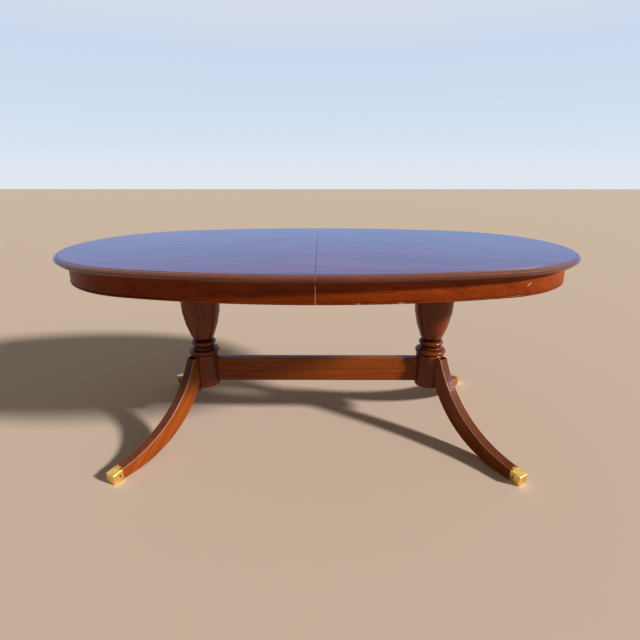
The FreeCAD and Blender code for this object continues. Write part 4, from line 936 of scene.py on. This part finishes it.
def worn_brass(name):
    """Brass with fine rubbing marks and duller patches."""
    material, tree, shader = new_material(name)
    place = add_node(tree, "ShaderNodeTexCoord").outputs["Object"]
    patches = stretched_noise(tree, place, DULL_STRETCH, 4.0, 0.5)
    marks = stretched_noise(tree, place, RUB_STRETCH, 3.0)
    colour = ramp(tree, patches, BRASS_STOPS)
    tree.links.new(colour, shader.inputs["Base Color"])
    tree.links.new(span(tree, marks, *NOISE_RANGE, *BRASS_ROUGHNESS), shader.inputs["Roughness"])
    relief(tree, shader, marks, 0.12, RUB_DEPTH)
    shader.inputs["Metallic"].default_value = 1.0
    return material


brass = worn_brass("worn_brass")
print("brass", brass.name)

# %% Toe caps
CAP_CROWN = 1.2 * MM
CAP_CROWN_INSET = 7 * MM
CAP_BEVEL = 2.2 * MM
CAP_BEVEL_STEPS = 4
FACING_SHARE = 0.97
bpy.ops.object.select_all(action="DESELECT")
cap_body = CAP_RISE - CAP_CROWN
cap_middle = Vector(((cap_start + LEG_REACH) / 2, 0, cap_body / 2))
bpy.ops.mesh.primitive_cube_add(size=UNIT_CUBE, location=cap_middle, scale=(CAP_LENGTH, CAP_WIDTH, cap_body))
toe_cap = bpy.context.object
toe_cap.name = "toe_cap_master"
bpy.ops.object.transform_apply(location=True, rotation=True, scale=True)
bpy.ops.object.mode_set(mode="EDIT")
select_edges(toe_cap, lambda co: co.x > LEG_REACH - CAP_WALL and co.z > CAP_WALL)
bpy.ops.transform.translate(value=(CAP_TOE_RISE - CAP_RISE) * UP)
bpy.ops.mesh.select_all(action="SELECT")
bpy.ops.mesh.bevel(offset=CAP_BEVEL, segments=CAP_BEVEL_STEPS)
bpy.ops.mesh.select_all(action="DESELECT")
bpy.ops.mesh.select_mode(type="FACE")
bpy.ops.object.mode_set(mode="OBJECT")
for face in toe_cap.data.polygons:
    face.select = face.normal.z > FACING_SHARE
bpy.ops.object.mode_set(mode="EDIT")
bpy.ops.mesh.inset(thickness=CAP_CROWN_INSET)
bpy.ops.transform.translate(value=CAP_CROWN * UP)
close_up(toe_cap)
shade(toe_cap, LEG_ROUND_LIMIT)
for face_name, side_name in PLACES:
    piece = copy_piece(toe_cap, f"toe_cap_brass_{face_name}_{side_name}")
    to_its_leg(piece, SIDES[side_name], FACES[face_name])
    dress(piece, brass, "brass", "base", f"toe_cap_{face_name}_{side_name}")
bpy.data.objects.remove(toe_cap)

# %% [markdown]
# One small screw holds each cap, on the side that faces the table's middle.
# Its head is a flat cylinder. Two bisects mark the slot, and an extrusion sinks it.

# %% Toe cap screws
SCREW_SHARE = 0.33
HEAD_RADIUS = 3.6 * MM
HEAD_HEIGHT = 1.2 * MM
SLOT_HALF = 0.45 * MM
SLOT_DEPTH = 0.8 * MM
SLOT_TURN_STEP = 35
HEAD_SIDES = 40
HEAD_ROUND_LIMIT = 30
screw_x = cap_start + SCREW_SHARE * CAP_LENGTH
screws = []
for number, (face_name, side_name) in enumerate(PLACES):
    inner = SIDES[side_name] * FACES[face_name]
    face_y = inner * (CAP_WIDTH / 2 + HEAD_HEIGHT / 2)
    bpy.ops.object.select_all(action="DESELECT")
    bpy.ops.mesh.primitive_cylinder_add(vertices=HEAD_SIDES, radius=HEAD_RADIUS, depth=HEAD_HEIGHT,
                                        location=(screw_x, face_y, CAP_RISE / 2),
                                        rotation=(math.pi / 2, 0, 0))
    piece = bpy.context.object
    bpy.ops.object.transform_apply(location=True, rotation=True, scale=True)
    bpy.ops.object.mode_set(mode="EDIT")
    slot_turn = Matrix.Rotation(math.radians(SLOT_TURN_STEP * (number + 1)), 3, ACROSS)
    for way in (-1, 1):
        bpy.ops.mesh.select_all(action="SELECT")
        slot_side = slot_turn @ UP
        bpy.ops.mesh.bisect(plane_co=Vector((screw_x, face_y, CAP_RISE / 2)) + way * SLOT_HALF * slot_side,
                            plane_no=slot_side)
    bpy.ops.mesh.select_all(action="DESELECT")
    bpy.ops.mesh.select_mode(type="FACE")
    bpy.ops.object.mode_set(mode="OBJECT")
    for face in piece.data.polygons:
        off_middle = (face.center - Vector((screw_x, face_y, CAP_RISE / 2))).dot(slot_side)
        face.select = face.normal.y * inner > FACING_SHARE and abs(off_middle) < SLOT_HALF / 2
    bpy.ops.object.mode_set(mode="EDIT")
    bpy.ops.mesh.extrude_region_move(TRANSFORM_OT_translate={"value": -inner * SLOT_DEPTH * ACROSS})
    close_up(piece)
    to_its_leg(piece, SIDES[side_name], FACES[face_name])
    screws.append(piece)
bpy.ops.object.select_all(action="DESELECT")
for piece in screws:
    piece.select_set(True)
bpy.context.view_layer.objects.active = screws[0]
bpy.ops.object.join()
screws[0].name = "toe_cap_screw_heads"

STEEL_STOPS = [(0.35, (0.09, 0.06, 0.045)), (0.6, (0.24, 0.22, 0.2))]
BLOOM_STRETCH = (240.0, 240.0, 240.0)
STEEL_ROUGHNESS = (0.38, 0.58)


def aged_steel(name):
    """Dull grey steel with a brown bloom."""
    material, tree, shader = new_material(name)
    place = add_node(tree, "ShaderNodeTexCoord").outputs["Object"]
    bloom = stretched_noise(tree, place, BLOOM_STRETCH, 4.0)
    colour = ramp(tree, bloom, STEEL_STOPS)
    tree.links.new(colour, shader.inputs["Base Color"])
    tree.links.new(span(tree, bloom, *NOISE_RANGE, *STEEL_ROUGHNESS), shader.inputs["Roughness"])
    shader.inputs["Metallic"].default_value = 1.0
    return material


steel = aged_steel("aged_steel")
shade(screws[0], HEAD_ROUND_LIMIT)
dress(screws[0], steel, "steel", "base", "toe_cap_screws")

# %% [markdown]
# What moves and carries the top can't be seen from a chair: bearers, slides, battens, the stored leaf.
# Their CAD shapes are right as they are, so they only get finishes: bare pale wood, steel and brass.

# %% Hidden pieces
BARE_WOOD_STOPS = [(0.3, (0.33, 0.19, 0.09)), (0.55, (0.5, 0.32, 0.17)), (0.75, (0.6, 0.41, 0.24))]
BARE_WOOD_ROUGHNESS = (0.55, 0.7)
PLANING_DEPTH = 0.2 * MM
ALONG_STRETCH = (3.0, 80.0, 80.0)
ACROSS_STRETCH = (80.0, 3.0, 80.0)


def bare_wood(name, stretch):
    """Planed pale wood with no finish."""
    material, tree, shader = new_material(name)
    place = add_node(tree, "ShaderNodeTexCoord").outputs["Object"]
    streaks = stretched_noise(tree, place, stretch, 5.0, 0.5)
    colour = ramp(tree, streaks, BARE_WOOD_STOPS)
    tree.links.new(colour, shader.inputs["Base Color"])
    tree.links.new(span(tree, streaks, *NOISE_RANGE, *BARE_WOOD_ROUGHNESS), shader.inputs["Roughness"])
    relief(tree, shader, streaks, 0.2, PLANING_DEPTH)
    return material


wood_along = bare_wood("bare_wood_along", ALONG_STRETCH)
wood_across = bare_wood("bare_wood_across", ACROSS_STRETCH)
FINISHES = {
    "leaf_panel": veneer, "pinion": brass, "rack": steel, "latch": brass, "leaf_hinges": brass,
    "bearer": wood_across, "batten": wood_across, "leaf_bar": wood_across,
}
for name, node in nodes.items():
    if node.hide_render:
        continue
    found = [finish for key, finish in FINISHES.items() if name.startswith(key)]
    finish = steel if "screws" in name or "pins" in name else (found or [wood_along])[0]
    node.data.materials.clear()
    node.data.materials.append(finish)
print("shown CAD nodes", sum(not node.hide_render for node in nodes.values()))

# %% [markdown]
# The table stands on a plain pale floor before a pale blue backdrop.
# The polished top is seen at a low angle, so most of what it shows is that backdrop.
# The world lights everything evenly, and a soft lamp from the right front gives the forms their shade.

# %% Floor
FLOOR_SIZE = 60
FLOOR_TONE = (0.72, 0.55, 0.41, 1.0)
FLOOR_BOUNCE = (0.32, 0.26, 0.21, 1.0)
FLOOR_ROUGHNESS = 0.9


def seen_rays(tree):
    """One for what the camera sees, by itself or in gloss and glass, and zero for the light that bounces."""
    path = add_node(tree, "ShaderNodeLightPath")
    seen = path.outputs["Is Camera Ray"]
    for ray in ("Is Glossy Ray", "Is Transmission Ray"):
        either = add_node(tree, "ShaderNodeMath", operation="MAXIMUM")
        tree.links.new(seen, either.inputs[0])
        tree.links.new(path.outputs[ray], either.inputs[1])
        seen = either.outputs["Value"]
    return seen


bpy.ops.object.select_all(action="DESELECT")
bpy.ops.mesh.primitive_plane_add(size=FLOOR_SIZE)
floor = bpy.context.object
floor.name = "floor"
floor_material, floor_tree, floor_shader = new_material("pale_floor")
floor_colour = blend_colour(floor_tree, "MIX", seen_rays(floor_tree), FLOOR_BOUNCE, FLOOR_TONE)
floor_tree.links.new(floor_colour, floor_shader.inputs["Base Color"])
floor_shader.inputs["Roughness"].default_value = FLOOR_ROUGHNESS
floor.data.materials.append(floor_material)
print("floor", FLOOR_SIZE, "m across")

# %% World
world = bpy.data.worlds.new("backdrop")
bpy.context.scene.world = world
world.use_nodes = True
sky_tree = world.node_tree
sky_tree.nodes.clear()
direction = add_node(sky_tree, "ShaderNodeTexCoord").outputs["Generated"]
split = add_node(sky_tree, "ShaderNodeSeparateXYZ")
sky_tree.links.new(direction, split.inputs["Vector"])
BACKDROP_STOPS = [
    (0.0, (0.60, 0.74, 0.92)),
    (0.1, (0.27, 0.52, 0.93)),
    (0.22, (0.16, 0.38, 0.86)),
    (0.34, (0.46, 0.53, 0.68)),
    (0.5, (0.76, 0.71, 0.64)),
    (0.9, (0.82, 0.80, 0.76)),
]
PALE_BACKDROP = (0.80, 0.83, 0.86, 1.0)
PALED_SHARE = 0.7
AMBIENT_TONE = (1.0, 0.98, 0.95, 1.0)
AMBIENT_STRENGTH = 0.18
backdrop = ramp(sky_tree, split.outputs["Z"], BACKDROP_STOPS)
straight_on = add_node(sky_tree, "ShaderNodeLightPath").outputs["Is Camera Ray"]
paled = span(sky_tree, straight_on, 0.0, 1.0, 0.0, PALED_SHARE)
backdrop = blend_colour(sky_tree, "MIX", paled, backdrop, PALE_BACKDROP)
seen = add_node(sky_tree, "ShaderNodeBackground", {"Strength": 1.0})
sky_tree.links.new(backdrop, seen.inputs["Color"])
ambient_light = {"Color": AMBIENT_TONE, "Strength": AMBIENT_STRENGTH}
ambient = add_node(sky_tree, "ShaderNodeBackground", ambient_light)
chosen = add_node(sky_tree, "ShaderNodeMixShader")
sky_tree.links.new(seen_rays(sky_tree), chosen.inputs["Fac"])
sky_tree.links.new(ambient.outputs["Background"], chosen.inputs[1])
sky_tree.links.new(seen.outputs["Background"], chosen.inputs[2])
output = add_node(sky_tree, "ShaderNodeOutputWorld")
sky_tree.links.new(chosen.outputs["Shader"], output.inputs["Surface"])
print("backdrop of", len(BACKDROP_STOPS), "tones, ambient", AMBIENT_STRENGTH)

# %% Key lamp
KEY_FROM = Vector((1.0, -0.42, 0.55))
KEY_ENERGY = 4.2
KEY_SPREAD = math.radians(6)
bpy.ops.object.light_add(type="SUN", location=KEY_FROM)
key = bpy.context.object
key.name = "key"
key.rotation_euler = KEY_FROM.to_track_quat("Z", "Y").to_euler()
key.data.energy = KEY_ENERGY
key.data.angle = KEY_SPREAD
print("lamp", key.name, "energy", KEY_ENERGY)

# %% [markdown]
# The camera has the photograph's viewing angle: above the top, and a little over a metre from its front edge.
# The lens is a wide one, so the near edge of the oval looks larger than the far edge.

# %% Camera
CAMERA_SPOT = (0.018, -1.660, 1.015)
CAMERA_PITCH = 0.321
CAMERA_YAW = 0.004
FOCAL_SHARE = 440 / 640
bpy.ops.object.camera_add(location=CAMERA_SPOT, rotation=(math.pi / 2 - CAMERA_PITCH, 0, CAMERA_YAW))
camera = bpy.context.object
camera.data.lens = camera.data.sensor_width * FOCAL_SHARE
bpy.context.scene.camera = camera
print("lens", round(camera.data.lens, 1), "mm")
bpy.context.scene.view_settings.view_transform = "Standard"
